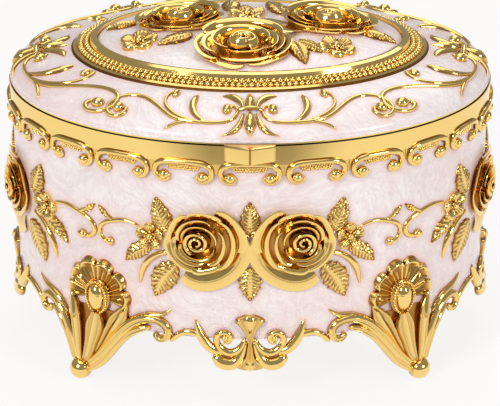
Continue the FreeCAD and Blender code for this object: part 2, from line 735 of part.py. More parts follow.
# The tutu: height of the waist as a share of the figure, folds, depth of the folds.
TUTU = SimpleNamespace(waist=0.455, folds=14, depth=0.10, ripple=0.7)
# Rings of the tutu: share of its radius and of its thickness, from the waist out and back below.
TUTU_RINGS = ((0.18, 0.3), (0.24, 0.2), (0.55, 0.55), (1.0, 0.0), (1.0, -1.0), (0.55, -0.5), (0.24, -0.6),
              (0.18, -0.7))


def make_dancer():
    """A dancer on one pointed foot, arms raised, with a tutu."""
    tall = Z.dancer_height

    def at(across, behind, up):
        return V(across * tall, behind * tall, Z.stage_top + up * tall)

    trunk = [(at(0, behind, up), wide * tall, deep * tall) for behind, up, wide, deep in DANCER_TRUNK]
    limbs = [tapered(trunk)]
    limbs += [Part.makeSphere(radius * tall, at(0, behind, up)) for behind, up, radius in DANCER_BALLS]
    for side, rows in ((-1, DANCER_ARM), (1, DANCER_ARM), (1, DANCER_LEG)):
        limb = [(at(side * across, behind, up), radius * tall) for across, behind, up, radius in rows]
        limbs.append(tube_through(limb))
    figure = limbs[0].multiFuse(limbs[1:])
    rings = []
    for index, (reach, rise) in enumerate(TUTU_RINGS):
        inner = index in (0, len(TUTU_RINGS) - 1)
        wave = 0 if inner else TUTU.depth * reach ** 2
        ripple = 0 if inner else TUTU.ripple * Z.skirt_thick * reach ** 2
        rings.append(round_ring(reach * Z.skirt_radius, rise * Z.skirt_thick, TUTU.folds, wave, lift=ripple))
    points_round = 4 * TUTU.folds
    skirt = ring_loft((at(0, 0, TUTU.waist), ACROSS, BEHIND, UP), rings, points_round)
    shaped("dancer", figure)
    shaped("dancer_skirt", skirt.cut(figure))


# Movement.
# Half widths of a gear tooth at its root and its tip, as shares of the pitch.
TOOTH_ROOT, TOOTH_TIP = 0.32, 0.14


def gear_outline(teeth, tip, depth):
    """The closed outline of a spur gear with flat-topped teeth, with a gap at angle zero."""
    points = []
    pitch, root = 2 * math.pi / teeth, tip - depth
    for tooth in range(int(teeth)):
        middle = (tooth + 0.5) * pitch
        for offset, radius in ((-TOOTH_ROOT, root), (-TOOTH_TIP, tip), (TOOTH_TIP, tip), (TOOTH_ROOT, root)):
            angle = middle + offset * pitch
            points.append(V(radius * math.cos(angle), radius * math.sin(angle), 0))
    return Part.makePolygon(points + points[:1])


def gear_along(teeth, tip, depth, rear, front, across=0.0, turn=0.0):
    """A spur gear on an axle that runs to the front; turn sets its first gap, from straight down."""
    disc = Part.Face(gear_outline(teeth, tip, depth)).extrude(V(0, 0, front - rear))
    disc.rotate(V(), UP, turn - 90)
    disc.rotate(V(), ACROSS, 90)
    disc.translate(V(across, -rear, Z.axle_height))
    return disc


def make_movement():
    """Barrel, great wheel, cylinder with its gears, comb, fan and the brackets that carry them."""
    bed = common("bed_blank", prism("bed_oval", "wall + ledge_width + fit", "plate_top", "bed_top"),
                 block("bed_block", ("-bed_half_width", "-bed_front", "plate_top - 1"),
                       ("bed_half_width", "bed_rear", "bed_top + 1")))
    arbor_hole = rod("bed_key_hole", "key_shaft_radius + bush_gap", "bed_thick + 2", (0, 0, "plate_top - 1"))
    node("movement_bedplate", cut("bed", bed, arbor_hole, *bed_holes("bed_hole", "screw_radius")))
    bore, drum = "key_shaft_radius + bush_gap", "barrel_radius * 0.96"
    turned("spring_barrel", ((bore, "0"), ("barrel_radius", "0"), ("barrel_radius", "barrel_height * 0.12"),
                             (drum, "barrel_height * 0.2"), (drum, "barrel_height"),
                             (bore, "barrel_height")), (0, 0, "barrel_bottom"))
    shaped("great_wheel", great_wheel())
    arbor = Part.makeCylinder(Z.arbor_radius, Z.drive_front - Z.wheel_radius + Z.crown_width,
                              V(0, Z.crown_width - Z.wheel_radius, Z.axle_height), V(0, -1, 0))
    pinion = gear_along(Z.pinion_teeth, Z.pinion_radius, Z.pinion_depth, Z.wheel_radius - Z.crown_width,
                        Z.wheel_radius)
    drive = gear_along(Z.drive_teeth, Z.drive_radius, Z.fan_tooth_depth, Z.drive_rear, Z.drive_front, turn=90)
    shaped("cylinder_arbor", arbor.multiFuse([pinion, drive]))
    cylinder = rod("cylinder_blank", "cylinder_radius", "cylinder_length",
                   (0, "-cylinder_front", "axle_height"), "Y")
    axle = rod("cylinder_bore", "arbor_radius", "cylinder_length + 2",
               (0, "-cylinder_front - 1", "axle_height"), "Y")
    node("music_cylinder", cut("cylinder", cylinder, axle))
    bracket("cylinder_bracket", "bracket_rear", "bracket_front", "0", "cylinder_radius - 2 * bracket_thick")
    bracket("governor_bracket", "fan_bracket_rear", "fan_bracket_front", "fan_across", "2 * bracket_thick")
    fan_pinion = gear_along(Z.fan_teeth, Z.fan_pinion_radius, Z.fan_tooth_depth, Z.drive_rear, Z.drive_front,
                            Z.fan_across, -90 + 180 / Z.fan_teeth)
    fan_arbor = Part.makeCylinder(Z.arbor_radius, Z.fan_bracket_front + Z.bracket_thick - Z.drive_rear,
                                  V(Z.fan_across, -Z.drive_rear, Z.axle_height), V(0, -1, 0))
    wings = Part.makeBox(2 * Z.fan_radius, Z.fan_length, Z.fan_thick,
                         V(Z.fan_across - Z.fan_radius, -Z.fan_front, Z.axle_height - Z.fan_thick / 2))
    shaped("governor_fan", fan_arbor.multiFuse([fan_pinion, wings]))
    make_comb()
    screws("movement_screws", bed_places(), "plate_bottom", "plate_thick + bed_thick")
    screws("base_plate_screws", plate_places(), "plate_bottom", "plate_thick + ledge_thick")


def great_wheel():
    """A flat wheel with crown teeth on its upper face, one of them straight to the front."""
    disc = Part.makeCylinder(Z.wheel_radius, Z.wheel_thick, V(0, 0, Z.wheel_bottom))
    pitch = 2 * math.pi * (Z.wheel_radius - Z.crown_width / 2) / Z.crown_teeth
    foot, tip, sunk = 0.22 * pitch, 0.12 * pitch, 0.1
    outline = Part.makePolygon([V(-foot, 0, -sunk), V(foot, 0, -sunk), V(tip, 0, Z.crown_height),
                                V(-tip, 0, Z.crown_height), V(-foot, 0, -sunk)])
    tooth = Part.Face(outline).extrude(V(0, Z.crown_width, 0))
    tooth.translate(V(0, -Z.wheel_radius, Z.wheel_top))
    teeth = []
    for index in range(int(Z.crown_teeth)):
        copy = tooth.copy()
        copy.rotate(V(), UP, 360 * index / Z.crown_teeth)
        teeth.append(copy)
    return disc.multiFuse(teeth)


def bracket(name, rear, front, across, half):
    """Two upright plates on a foot, bored for an arbor that runs to the front."""
    low, high = f"{across} - ({half})", f"{across} + ({half})"
    top = "axle_height + 2 * arbor_radius"
    plates = [block(f"{name}_{side}", (low, f"-{edge} - bracket_thick", "bed_top"), (high, f"-{edge}", top))
              for side, edge in (("rear", rear), ("front", front))]
    foot = block(f"{name}_foot", (low, f"-{front} - bracket_thick", "bed_top"),
                 (high, f"-{rear}", "bed_top + bracket_thick"))
    bore = rod(f"{name}_bore", "arbor_radius + bush_gap", f"{front} - {rear} + 3 * bracket_thick",
               (across, f"-{front} - 2 * bracket_thick", "axle_height"), "Y")
    node(name, cut(f"{name}_body", fuse(f"{name}_blank", foot, *plates), bore))


def make_comb():
    """The steel comb on its block, beside the cylinder."""
    heel = "-comb_front - tine_length - comb_base"
    rear, front = "-cylinder_rear", "-cylinder_front"
    outline = (("-comb_front", rear), (heel, rear), (heel, front), ("-comb_front", front))
    body, _ = padded("comb", "XY_Plane", outline, "comb_thick", (0, 0, "comb_bottom"))
    pitch = "(cylinder_length / tine_count)"
    near, far = f"{front} + {pitch} - tine_slot / 2", f"{front} + {pitch} + tine_slot / 2"
    tip, root = "-comb_front + 1", "-comb_front - tine_length"
    slot = add_sketch(body, "comb_slot", ((tip, near), (root, near), (root, far), (tip, far)))
    pocket = body.newObject("PartDesign::Pocket", "comb_slot_cut")
    pocket.Profile = slot
    pocket.Type = "ThroughAll"
    pocket.Reversed = True
    pattern = body.newObject("PartDesign::LinearPattern", "comb_slots")
    pattern.Originals = [pocket]
    pattern.Direction = (slot, ["V_Axis"])
    pattern.setExpression("Length", formula(f"{pitch} * (tine_count - 2)"))
    pattern.setExpression("Occurrences", formula("tine_count - 1"))
    body.Tip = pattern
    node("comb", body)
    node("comb_block", block("comb_riser", (heel, front, "bed_top"), (root, rear, "comb_bottom")))
    pieces = []
    for i, share in enumerate((0.2, 0.8)):
        spot = ("-comb_front - tine_length - comb_base / 2", f"-cylinder_rear - {share} * cylinder_length",
                "comb_bottom + comb_thick")
        pieces.append(rod(f"comb_screw_{i}", "screw_head_radius", "screw_head_height", spot))
    group = doc.addObject("Part::Compound", "comb_screw_group")
    group.Links = pieces
    node("comb_screws", group)


def make_key():
    """The winding key under the base and the arbor that it turns."""
    node("key_arbor", rod("arbor", "key_shaft_radius", "wheel_bottom - fit - plate_bottom + key_drop",
                          (0, 0, "plate_bottom - key_drop")))
    socket_bottom = "plate_bottom - key_drop - key_bar_height"
    socket = rod("key_socket", "2 * key_shaft_radius", "key_bar_height", (0, 0, socket_bottom))
    low = f"{socket_bottom} - key_wing_radius"
    wings = []
    for i, side in enumerate(("-", "")):
        place = (f"{side}key_wing_radius", "key_thick / 2", low)
        upright = ((1, 0, 0), 90)
        disc = bound("Part::Cylinder", f"key_wing_{i}", place, upright,
                     Radius="key_wing_radius", Height="key_thick")
        eye = bound("Part::Cylinder", f"key_eye_{i}", (place[0], "key_thick", low), upright,
                    Radius="key_wing_radius / 2", Height="2 * key_thick")
        wings.append(cut(f"key_ring_{i}", disc, eye))
    stem = block("key_stem", ("-key_shaft_radius", "-key_thick / 2", low),
                 ("key_shaft_radius", "key_thick / 2", socket_bottom))
    node("winding_key", fuse("key", socket, stem, *wings))


def make_stop():
    """The pin that the lid holds down, its bush in the deck and its foot."""
    spot = ("stop_across", "stop_behind")
    bush = rod("bush_blank", "stop_bush_radius", "stop_bush_height", (*spot, "deck_top"))
    neck = rod("bush_neck", "stop_bush_radius - 2 * fit", "tray_wall", (*spot, "deck_bottom"))
    bore = rod("bush_bore", "stop_radius + bush_gap", "stop_bush_height + tray_wall + 2",
               (*spot, "deck_bottom - 1"))
    node("stop_pin_bush", cut("bush", fuse("bush_body", bush, neck), bore))
    reach = "lid_bottom + stop_reach"
    foot_top = "deck_bottom - stop_travel - 2 * fit"
    pin = rod("stop_rod", "stop_radius", f"{reach} - ({foot_top})", (*spot, foot_top))
    foot = rod("stop_foot", "stop_foot_radius", "bracket_thick", (*spot, f"{foot_top} - bracket_thick"))
    node("stop_pin", fuse("stop", pin, foot))


# Lid.
def slope_loft(name, draw_in, drop, bottom):
    """The lid slope as a solid, drawn in and lowered, with its foot at a given height."""
    skin = loft(name, slope_sections(name + "_section", draw_in, drop))
    return fuse(name + "_full", skin, prism(name + "_foot", draw_in, bottom, f"slope_bottom - ({drop})"))


def make_lid():
    """The lid: lip, slope, lining, mirror, bead frame, domed panel and thumb tab."""
    lip = prism("lip_outer", "-lip_proud", "lid_bottom", "slope_bottom")
    node("lid_lip", cut("lip", lip, prism("lip_bore", "lip_width", "lid_bottom - 1", "slope_bottom + 1")))
    skin = loft("slope_skin", slope_sections("slope_section", "0", "0"))
    hollow = slope_loft("slope_hollow", "lid_thick", "lid_thick", "slope_bottom - lid_thick - 1")
    hole = prism("lid_hole", "lid_hole_inset", "slope_bottom", "slope_top + 1")
    node("lid_shell", cut("lid_slope", skin, hollow, hole))
    lining = slope_loft("lining_outer", "lid_thick + fit", "lid_thick + fit", "seam_height - 2 * lid_thick")
    inside = slope_loft("lining_inner", "lid_thick + fit + lining_thick", "lid_thick + fit + lining_thick",
                        "seam_height - 3 * lid_thick")
    opening = prism("lining_opening", "mirror_inset - fit", "lid_bottom", "slope_top")
    floor = prism("lining_floor", "-1", "seam_height - 4 * lid_thick", "slope_bottom + fit")
    node("lid_lining", cut("lining", lining, inside, opening, floor))
    glass_top = "slope_top - lid_thick"
    node("mirror", prism("mirror_plate", "mirror_inset", f"{glass_top} - mirror_thick", glass_top))
    steps = (("ring_inset", "slope_top"), ("ring_inset - 0.3 * frame_edge", "slope_top + 0.6 * frame_base"),
             ("ring_inset + 0.3 * frame_edge", "slope_top + frame_base"),
             ("ring_inset + frame_edge", "slope_top + 0.6 * frame_base"),
             ("panel_inset - 2 * frame_edge", "slope_top + 0.55 * frame_crest"),
             ("panel_inset - 1.6 * frame_edge", "slope_top + 0.9 * frame_crest"),
             ("panel_inset - 0.6 * frame_edge", "slope_top + frame_crest"))
    outlines = [oval(f"frame_{i}", inset, height) for i, (inset, height) in enumerate(steps)]
    rim = loft("frame_rim", outlines, True)
    frame_bore = prism("frame_bore", "panel_inset", "slope_top - 1", "slope_top + 2 * frame_crest")
    node("bead_frame", cut("frame", rim, frame_bore))
    edge = prism("panel_base_block", "panel_inset + fit", "slope_top", "panel_base")
    dome = bound("Part::Ellipsoid", "panel_dome", (0, 0, "panel_base"), Radius1="panel_crown",
                 Radius2="half_width - panel_inset - fit", Radius3="half_depth - panel_inset - fit")
    dome.Angle1, dome.Angle2 = 0, 90
    node("lid_panel", fuse("panel", edge, dome))
    make_tab()


def slope_sections(name, draw_in, drop):
    """The ellipses of the lid slope from the lip to the bead frame."""
    sections = []
    stations = 6
    for index in range(stations + 1):
        turn = f"lid_turn * {index} / {stations}"
        inset = f"ring_inset * (1 - cos(({turn}) * 1deg)) / (1 - cos(lid_turn * 1deg)) + {draw_in}"
        height = f"slope_bottom + lid_rise * sin(({turn}) * 1deg) / sin(lid_turn * 1deg) - ({drop})"
        sections.append(oval(f"{name}_{index}", inset, height))
    return sections


def make_tab():
    """The two-faced thumb tab, hung on the lip in front of the band."""
    back = "-(half_depth + band_proud + fit)"
    side = f"{back} - tab_root"
    ridge = "-(half_depth + tab_reach)"
    left, right = "-tab_width / 2", "tab_width / 2"
    outline = ((left, back), (left, side), ("0", ridge), (right, side), (right, back))
    body, _ = padded("tab_pad", "XY_Plane", outline, "tab_height", (0, 0, "slope_bottom - tab_height"))
    bridge = block("tab_bridge", (left, "-half_depth - band_proud - 2 * fit", "lid_bottom"),
                   (right, "-half_depth + 2", "slope_bottom"))
    lip = prism("tab_lip_room", "-lip_proud", "lid_bottom - 1", "slope_bottom + 1")
    node("lid_tab", cut("tab", fuse("tab_blank", body, bridge), lip))


# Hinge.
def make_hinge():
    """Two leaves on the backs of band and lid, three knuckles and the pin through them."""
    inside = "half_depth - 3"
    outside = "half_depth + band_proud + hinge_leaf"
    axis = ("hinge_axis", "hinge_height")
    ends = (("-hinge_half", "-hinge_middle - fit"), ("hinge_middle + fit", "hinge_half"))
    below, above = "hinge_height - hinge_radius - fit", "hinge_height + hinge_radius + fit"
    wings = [knuckle(f"body_knuckle_{i}", low, high, axis) for i, (low, high) in enumerate(ends)]
    arms = [block(f"body_arm_{i}", (low, inside, f"{below} - hinge_leaf"),
                  (high, outside, "hinge_height - fit")) for i, (low, high) in enumerate(ends)]
    strip = block("body_strip", ("-hinge_half", inside, "seam_height - hinge_reach"),
                  ("hinge_half", outside, below))
    bore = rod("body_hinge_bore", "hinge_pin_radius", "2 * hinge_half + 2", ("-hinge_half - 1", *axis), "X")
    band = prism("hinge_band_room", "-band_proud", "skirt_height", "seam_height + hinge_reach")
    node("hinge_leaf_body", cut("body_leaf", fuse("body_leaf_blank", *wings, *arms, strip), band, bore))
    middle = knuckle("lid_knuckle", "-hinge_middle", "hinge_middle", axis)
    arm = block("lid_arm", ("-hinge_middle", inside, "hinge_height + fit"),
                ("hinge_middle", outside, f"{above} + hinge_leaf"))
    plate = block("lid_strip", ("-hinge_half", inside, above),
                  ("hinge_half", outside, "seam_height + hinge_reach"))
    lid_bore = rod("lid_hinge_bore", "hinge_pin_radius + bush_gap", "2 * hinge_half",
                   ("-hinge_half", *axis), "X")
    room = fuse("lid_hinge_room", loft("hinge_slope_room", slope_sections("hinge_slope", "0", "0")),
                prism("hinge_lip_room", "-lip_proud", "lid_bottom - 1", "slope_bottom"))
    node("hinge_leaf_lid", cut("lid_leaf", fuse("lid_leaf_blank", middle, arm, plate), room, lid_bore))
    node("hinge_pin", rod("pin", "hinge_pin_radius", "2 * hinge_half", ("-hinge_half", *axis), "X"))


def knuckle(name, low, high, axis):
    """One rolled knuckle of the hinge."""
    return rod(name, "hinge_radius", f"({high}) - ({low})", (low, *axis), "X")


# Cast ornament.
# An arch of the frieze, in shares of its drop: radius of its end curls; and how their bends rise to its top.
ARCH = SimpleNamespace(curl=0.4, start=180, turns=0.6, shoulder=0.35, sag=0.2, haunch=0.5)


def make_frieze():
    """The arches under the band: each a scroll with a curl at both ends."""
    arches = []
    thick = Z.scroll_radius
    top = Z.band_bottom - thick - Z.fit
    reach = ARCH.curl * Z.arch_drop
    low = top - Z.arch_drop + reach
    edge = math.pi / Z.arch_count
    for index in range(int(Z.arch_count)):
        wall = Wall(360 * index / Z.arch_count)
        ends = [wall.curve.value(wall.start + side * edge) for side in (-1, 1)]
        half = (ends[1] - ends[0]).Length / 2 - thick - Z.fit
        points = curl_points(curl(reach - half, low, ARCH.start, ARCH.turns, reach), thick)[::-1]
        points.append((ARCH.shoulder * reach - half, low + reach, thick))
        points.append((-ARCH.haunch * half, top - ARCH.sag * reach, thick))
        points += [(0, top, thick)] + [(-along, up, size) for along, up, size in reversed(points)]
        arches.append(stroke(wall, points, 1))
    shaped("scroll_frieze", Part.makeCompound(arches))


# Half a rose spray, along from the rose's outer edge and up from the spray's middle.
# Leaves: along and up of the base, along and up of the tip, half width.
SPRAY_LEAVES = ((0, 6.5, 2, 13, 2.3), (6.2, -3.6, 11.5, -7, 1.7), (-3, -10, 2.3, -16.8, 3.4))
SPRAY_FLOWER = (4, 2)
# Stalk and tendril: along, up, share of the scroll radius.
SPRAY_STALK = ((1.4, -5, 1), (4.5, -9, 1), (7.4, -13.6, 0.5))
SPRAY_TENDRIL = ((8.6, 4.2, 0.6), (12.6, 4.8, 1), (16.6, 4, 1))
SPRAY_CURL = curl(17, 0.6, 50, -0.75, 3.2)
SPRAY_LEAN = (0.14, 0.24)
# Leaves between the two roses, from the spray's middle.
SPRAY_MIDDLE_LEAVES = ((0, 5.2, 0, 13.5, 2.4), (0, -7, 0, -16, 2.8))


def leaves(surface, rows, along=0.0, up=0.0):
    """Leaves from a table, moved along and up."""
    return [leaf(surface, (along + a, up + b), (along + c, up + d), half) for a, b, c, d, half in rows]


def moved(rows, along, up, thick):
    """Stem points from a table, moved along and up, with their shares made half widths."""
    return [(along + a, up + b, share * thick) for a, b, share in rows]


def spray_half(wall, wall_solid):
    """Half of a rose spray: a rose, a small flower, leaves, a stalk and a scroll tendril."""
    middle, thick = Z.spray_height, Z.scroll_radius
    out = Z.rose_apart + Z.rose_radius
    pieces = [rose(wall, Z.rose_apart, middle, Z.rose_radius, Z.rose_height, SPRAY_LEAN),
              flower(wall, out + SPRAY_FLOWER[0], middle + SPRAY_FLOWER[1])]
    pieces += leaves(wall, SPRAY_LEAVES, out, middle)
    stalk = moved(SPRAY_STALK, out, middle, thick)
    tendril = moved(SPRAY_TENDRIL, out, middle, thick) + curl_points(SPRAY_CURL, thick, out, middle)
    return seated(pieces, wall_solid) + [stroke(wall, stalk), stroke(wall, tendril)]


def spray(axis_angle, mirror, wall_solid):
    """A whole spray: two halves and the leaves between the roses."""
    wall = Wall(axis_angle)
    middle = seated(leaves(wall, SPRAY_MIDDLE_LEAVES, 0, Z.spray_height), wall_solid)
    return Part.makeCompound(mirrored(spray_half(wall, wall_solid), mirror) + middle)


def make_sprays(wall_solid):
    """Four rose sprays, one on each side of the box."""
    front = spray(0, ACROSS, wall_solid)
    right = spray(90, BEHIND, wall_solid)
    shaped("front_rose_spray", front)
    shaped("rear_rose_spray", half_turn(front))
    shaped("right_rose_spray", right)
    shaped("left_rose_spray", half_turn(right))


# Rings of a palmette: share of its radius, rise in shares of its thickness, depth of its flutes, sunk share.
PALM_RINGS = ((0.94, 0, 0, 1), (1.0, 0.45, 0.14, 0), (0.8, 0.8, 0.12, 0), (0.5, 0.55, 0.05, 0),
              (0.40, 1.1, 0, 0), (0.2, 1.35, 0, 0), (0.04, 1.4, 0, 0))
# Its half width and its reach below the boss, as shares of the radius; swell of its lobes; points on a ring.
PALM = SimpleNamespace(narrow=0.9, below=0.62, swell=0.3, plain=0.2, points=44)


def palmette(wall, along, up):
    """A fan of lobes round an oval boss, drawn in to a stem below."""
    def row(share, rise, flute, sunk):
        def ring(angle):
            fan = 0.5 + 0.5 * math.sin(angle)
            lobe = abs(math.cos(Z.palm_lobes * (angle - math.pi / 2) / 2)) if fan > PALM.plain else 0.5
            reach = PALM.below + (1 - PALM.below) * fan
            radius = Z.palm_radius * share * reach * (1 - flute + flute * lobe)
            height = Z.palm_thick * (rise + PALM.swell * flute * lobe - sunk)
            return PALM.narrow * radius * math.cos(angle), radius * math.sin(angle), height
        return ring

    return ring_loft(local_frame(wall, along, up), [row(*values) for values in PALM_RINGS], PALM.points)


def make_feet(wall_solid):
    """Four palmette feet: a boss of lobes, a leg that runs aside to a ball, and scroll arms to both sides."""
    wall = Wall(Z.foot_angle)
    ball = Z.ball_radius
    centre = wall.place(Z.ball_aside, ball - Z.ball_flat, Z.ball_out)
    below = Part.makeBox(4 * ball, 4 * ball, 2 * ball, V(centre.x - 2 * ball, centre.y - 2 * ball, -2 * ball))
    parts = [Part.makeSphere(ball, centre).cut(below), leg_loft(wall)]
    parts += [stroke(wall, rows) for rows in FOOT_ARMS]
    whole = palmette(wall, 0, Z.palm_height).multiFuse(parts).cut(wall_solid)
    foot = max(whole.Solids, key=lambda solid: solid.Volume)
    other = foot.mirror(V(), ACROSS)
    shaped("foot_front_right", foot)
    shaped("foot_front_left", other)
    shaped("foot_rear_right", foot.mirror(V(), BEHIND))
    shaped("foot_rear_left", other.mirror(V(), BEHIND))


# The leg of a foot: share of the way to the ball, up, lift, half width, half depth.
LEG_ROWS = ((-0.1, 26.0, 0.4, 8.6, 2.4), (0.05, 20.5, 1.0, 7.2, 2.4), (0.32, 14.5, 1.3, 5.0, 2.4),
            (0.64, 9.5, 1.1, 3.2, 2.2), (0.94, 5.2, 0.5, 2.3, 2.0))
# Strands of a foot's arms from the ball to their curls: along from its palmette, up, half width, lift.
FOOT_ARMS = (
    ((3.6, 5.6, 1.2, 0.6), (-2.6, 12.0, 1.6, 0.9), (-9.4, 20.8, 1.75, 0.7), (-14.0, 24.6, 1.6, 0.4),
     (-18.8, 25.4, 1.4, 0.3), (-22.2, 23.6, 1.25, 0.4), (-22.4, 20.8, 1.2, 0.5), (-20.2, 19.6, 1.1, 0.5)),
    ((4.8, 3.4, 1.1, 0.3), (-1.6, 8.2, 1.3, 0.7), (-8.6, 17.4, 1.45, 0.6), (-13.6, 21.4, 1.3, 0.4),
     (-17.4, 22.6, 0.7, 0.3)),
    ((7.2, 6.0, 1.1, 0.6), (9.0, 13.6, 1.4, 0.8), (12.0, 19.6, 1.4, 0.6), (15.8, 22.6, 1.3, 0.4),
     (19.6, 22.8, 1.2, 0.3), (21.8, 21.0, 1.15, 0.4), (21.2, 18.8, 1.1, 0.5), (19.0, 18.4, 1.0, 0.5)),
    ((8.6, 5.2, 0.9, 0.3), (10.8, 13.2, 1.1, 0.6), (13.8, 18.0, 1.1, 0.5), (17.4, 20.4, 0.6, 0.3)),
    ((-12.6, 24.0, 0.9, 0.3), (-16.8, 26.4, 1.0, 0.3), (-20.4, 27.0, 0.8, 0.2), (-23.6, 29.0, 0.25, 0.1)),
    ((11.0, 20.0, 0.8, 0.3), (15.0, 24.2, 1.0, 0.3), (19.6, 25.6, 0.8, 0.2), (24.0, 27.8, 0.25, 0.1)),
)


def leg_loft(wall):
    """The leg of a foot, from inside the palmette down into the ball."""
    wires = []
    for share, up, lift, wide, deep in LEG_ROWS:
        along = share * Z.ball_aside
        middle, normal = wall.place(along, up, lift), wall.normal(along, up)
        side = normal.cross(UP)
        wires.append(Part.Wire(Part.Ellipse(middle + side * wide, middle + normal * deep, middle).toShape()))
    return Part.makeLoft(wires, True, False)


# Rings of an apron's shell: share of its size, rise as a share of its thickness, depth of its flutes.
APRON_RINGS = ((0.94, 0, 0), (1, 0.4, 0.1), (0.7, 1, 0.08), (0.3, 0.75, 0), (0.04, 0.8, 0))
APRON_FLUTES, APRON_POINTS = 4, 40
# Its scroll and horn: along, up from the middle of the shell, share of the stem's half width.
APRON_SCROLL = ((2.2, -6.0, 1), (5.6, -5.0, 1), (9.2, 0, 1))
APRON_CURL = curl(7.2, 2.6, 0, 0.6, 2.4)
APRON_HORN = ((9.2, 0.5, 1), (11.5, 2.9, 1), (14, 4.3, 0.8), (15, 6.4, 0.3))
APRON_STEM = 1.5


def apron(axis_angle, mirror, wall_solid, stretch):
    """A pendant on the bottom edge: a fluted shell between two curled scrolls."""
    wall = Wall(axis_angle, stretch)
    middle = Z.apron_top - Z.apron_drop / 2
    thick = APRON_STEM * Z.scroll_radius

    def row(share, rise, flute):
        def ring(angle):
            reach = share * (1 - flute + flute * abs(math.cos(APRON_FLUTES * angle)))
            across, up = Z.apron_half * reach * math.cos(angle), Z.apron_drop / 2 * reach * math.sin(angle)
            return across, up, Z.apron_thick * rise
        return ring

    shell = ring_loft(local_frame(wall, 0, middle), [row(*values) for values in APRON_RINGS], APRON_POINTS)
    scroll = moved(APRON_SCROLL, 0, middle, thick) + curl_points(APRON_CURL, thick, 0, middle)
    sides = [stroke(wall, scroll), stroke(wall, moved(APRON_HORN, 0, middle, thick))]
    whole = shell.multiFuse(mirrored(sides, mirror)).cut(wall_solid)
    return max(whole.Solids, key=lambda solid: solid.Volume)


def make_aprons(wall_solid):
    """Four pendants on the bottom edge."""
    front = apron(0, ACROSS, wall_solid, 1.0)
    right = apron(90, BEHIND, wall_solid, Z.side_stretch)
    shaped("front_apron", front)
    shaped("rear_apron", half_turn(front))
    shaped("right_apron", right)
    shaped("left_apron", half_turn(right))


# Half a fleur and its vine on the lid slope. Leaves: along and up of base and tip, half width.
FLEUR_LEAVES = ((2.2, 10.6, 7.6, 16.6, 1.3), (2.2, 6.6, 7.4, 2.2, 1.3))
FLEUR_MIDDLE = ((0, 9.6, 0, 17.6, 1.7), (0, 7.6, 0, 2, 1.7))
VINE_LEAVES = ((12, 9.6, 17, 16, 1.3), (21, 6, 25, 2.4, 1.1))
# The vine: along, up, share of the scroll radius.
VINE = ((5.4, 8.6, 0.6), (9, 7.4, 1), (15, 8, 1), (20, 7.6, 1), (26, 11.5, 1), (32, 13.4, 1))
VINE_CURL = curl(36.5, 9.8, 60, -0.85, 3)
VINE_REACH = (1.0, 1.3)


def vine_half(slope, reach, carriers):
    """Half a fleur and the vine that runs from it; reach stretches the vine along the lip."""
    thick = Z.scroll_radius
    rows = [(reach * a, b, reach * c, d, half) for a, b, c, d, half in VINE_LEAVES]
    vine = [(reach * along, up, share * thick) for along, up, share in VINE]
    vine += curl_points(VINE_CURL, thick, (reach - 1) * VINE_CURL.along)
    return seated(leaves(slope, FLEUR_LEAVES) + leaves(slope, rows), *carriers) + [stroke(slope, vine)]


def make_vines():
    """Fleurs in the middle of each side of the lid slope, and vines between them."""
    carriers = [nodes[name].Base.Shape for name in ("lid_shell", "lid_lip", "bead_frame")]
    pieces = []
    turns = ((0, ACROSS, BEHIND), (90, BEHIND, ACROSS))
    for (angle, mirror, other), reach in zip(turns, VINE_REACH):
        slope = Slope(angle)
        middle = seated(leaves(slope, FLEUR_MIDDLE), *carriers)
        pieces += mirrored(mirrored(vine_half(slope, reach, carriers), mirror) + middle, other)
    room = V(Z.hinge_half + Z.fit, 2 * Z.half_depth, Z.seam_height + Z.hinge_reach + Z.fit)
    hinge_room = Part.makeBox(2 * room.x, room.y, room.z, V(-room.x, 0, 0))
    shaped("lid_vines", Part.makeCompound(clear_of(hinge_room, pieces)))


def clear_of(room, pieces):
    """Ornaments cut back to leave a room free; one that would lose half of itself is left out."""
    kept = []
    for piece in pieces:
        rest = piece.cut(room)
        if rest.Volume > piece.Volume / 2:
            kept.append(max(rest.Solids, key=lambda solid: solid.Volume))
    return kept


# The bouquet on the panel, across and behind its middle. Roses: place, share of the front rose.
LID_ROSES = ((-2.2, -16.4, 1.0), (-20.9, 5.6, 0.91), (24.0, 4.2, 0.96))
LID_FLOWERS = ((-32, -10.4), (24.7, -16), (-0.8, 9))
# Leaves: base, tip, half width.
LID_LEAVES = ((-17.2, -8.4, -26, -13.6, 2.6), (13.6, -14.6, 17.4, -25, 2.5), (-34, 4.2, -42, 3.4, 2.0),
              (36, -3.6, 42.4, -6.2, 1.8), (9.4, 9.6, 5.6, 24, 2.4), (-6.4, 13.6, -5.4, 25.4, 2.2))
LID_LEAN = (0, 0.1)


def make_lid_roses():
    """Three roses on the panel with leaves and small flowers between them."""
    panel = Panel()
    carriers = [nodes[name].Shape for name in ("lid_panel", "bead_frame")]
    pieces = [rose(panel, across, behind, share * Z.lid_rose_radius, Z.lid_rose_height, LID_LEAN)
              for across, behind, share in LID_ROSES]
    pieces += leaves(panel, LID_LEAVES) + [flower(panel, *place) for place in LID_FLOWERS]
    shaped("lid_roses", Part.makeCompound(seated(pieces, *carriers)))


def check_and_write():
    """Stop if any object failed or any piece is not a valid solid, then write every piece."""
    for thing in doc.Objects:
        if "Invalid" in thing.State or "Error" in thing.State:
            raise RuntimeError(f"{thing.Name} failed: {thing.State}")
    for name, thing in nodes.items():
        if thing.Shape.isNull() or not thing.Shape.isValid() or not thing.Shape.Solids:
            raise RuntimeError(f"{name} is not a valid solid")
    os.makedirs("parts", exist_ok=True)
    for name, thing in nodes.items():
        thing.Shape.exportStep(f"parts/{name}.step")
        print(f"{name}: {len(thing.Shape.Solids)} solids, {thing.Shape.Volume:.0f} mm3")


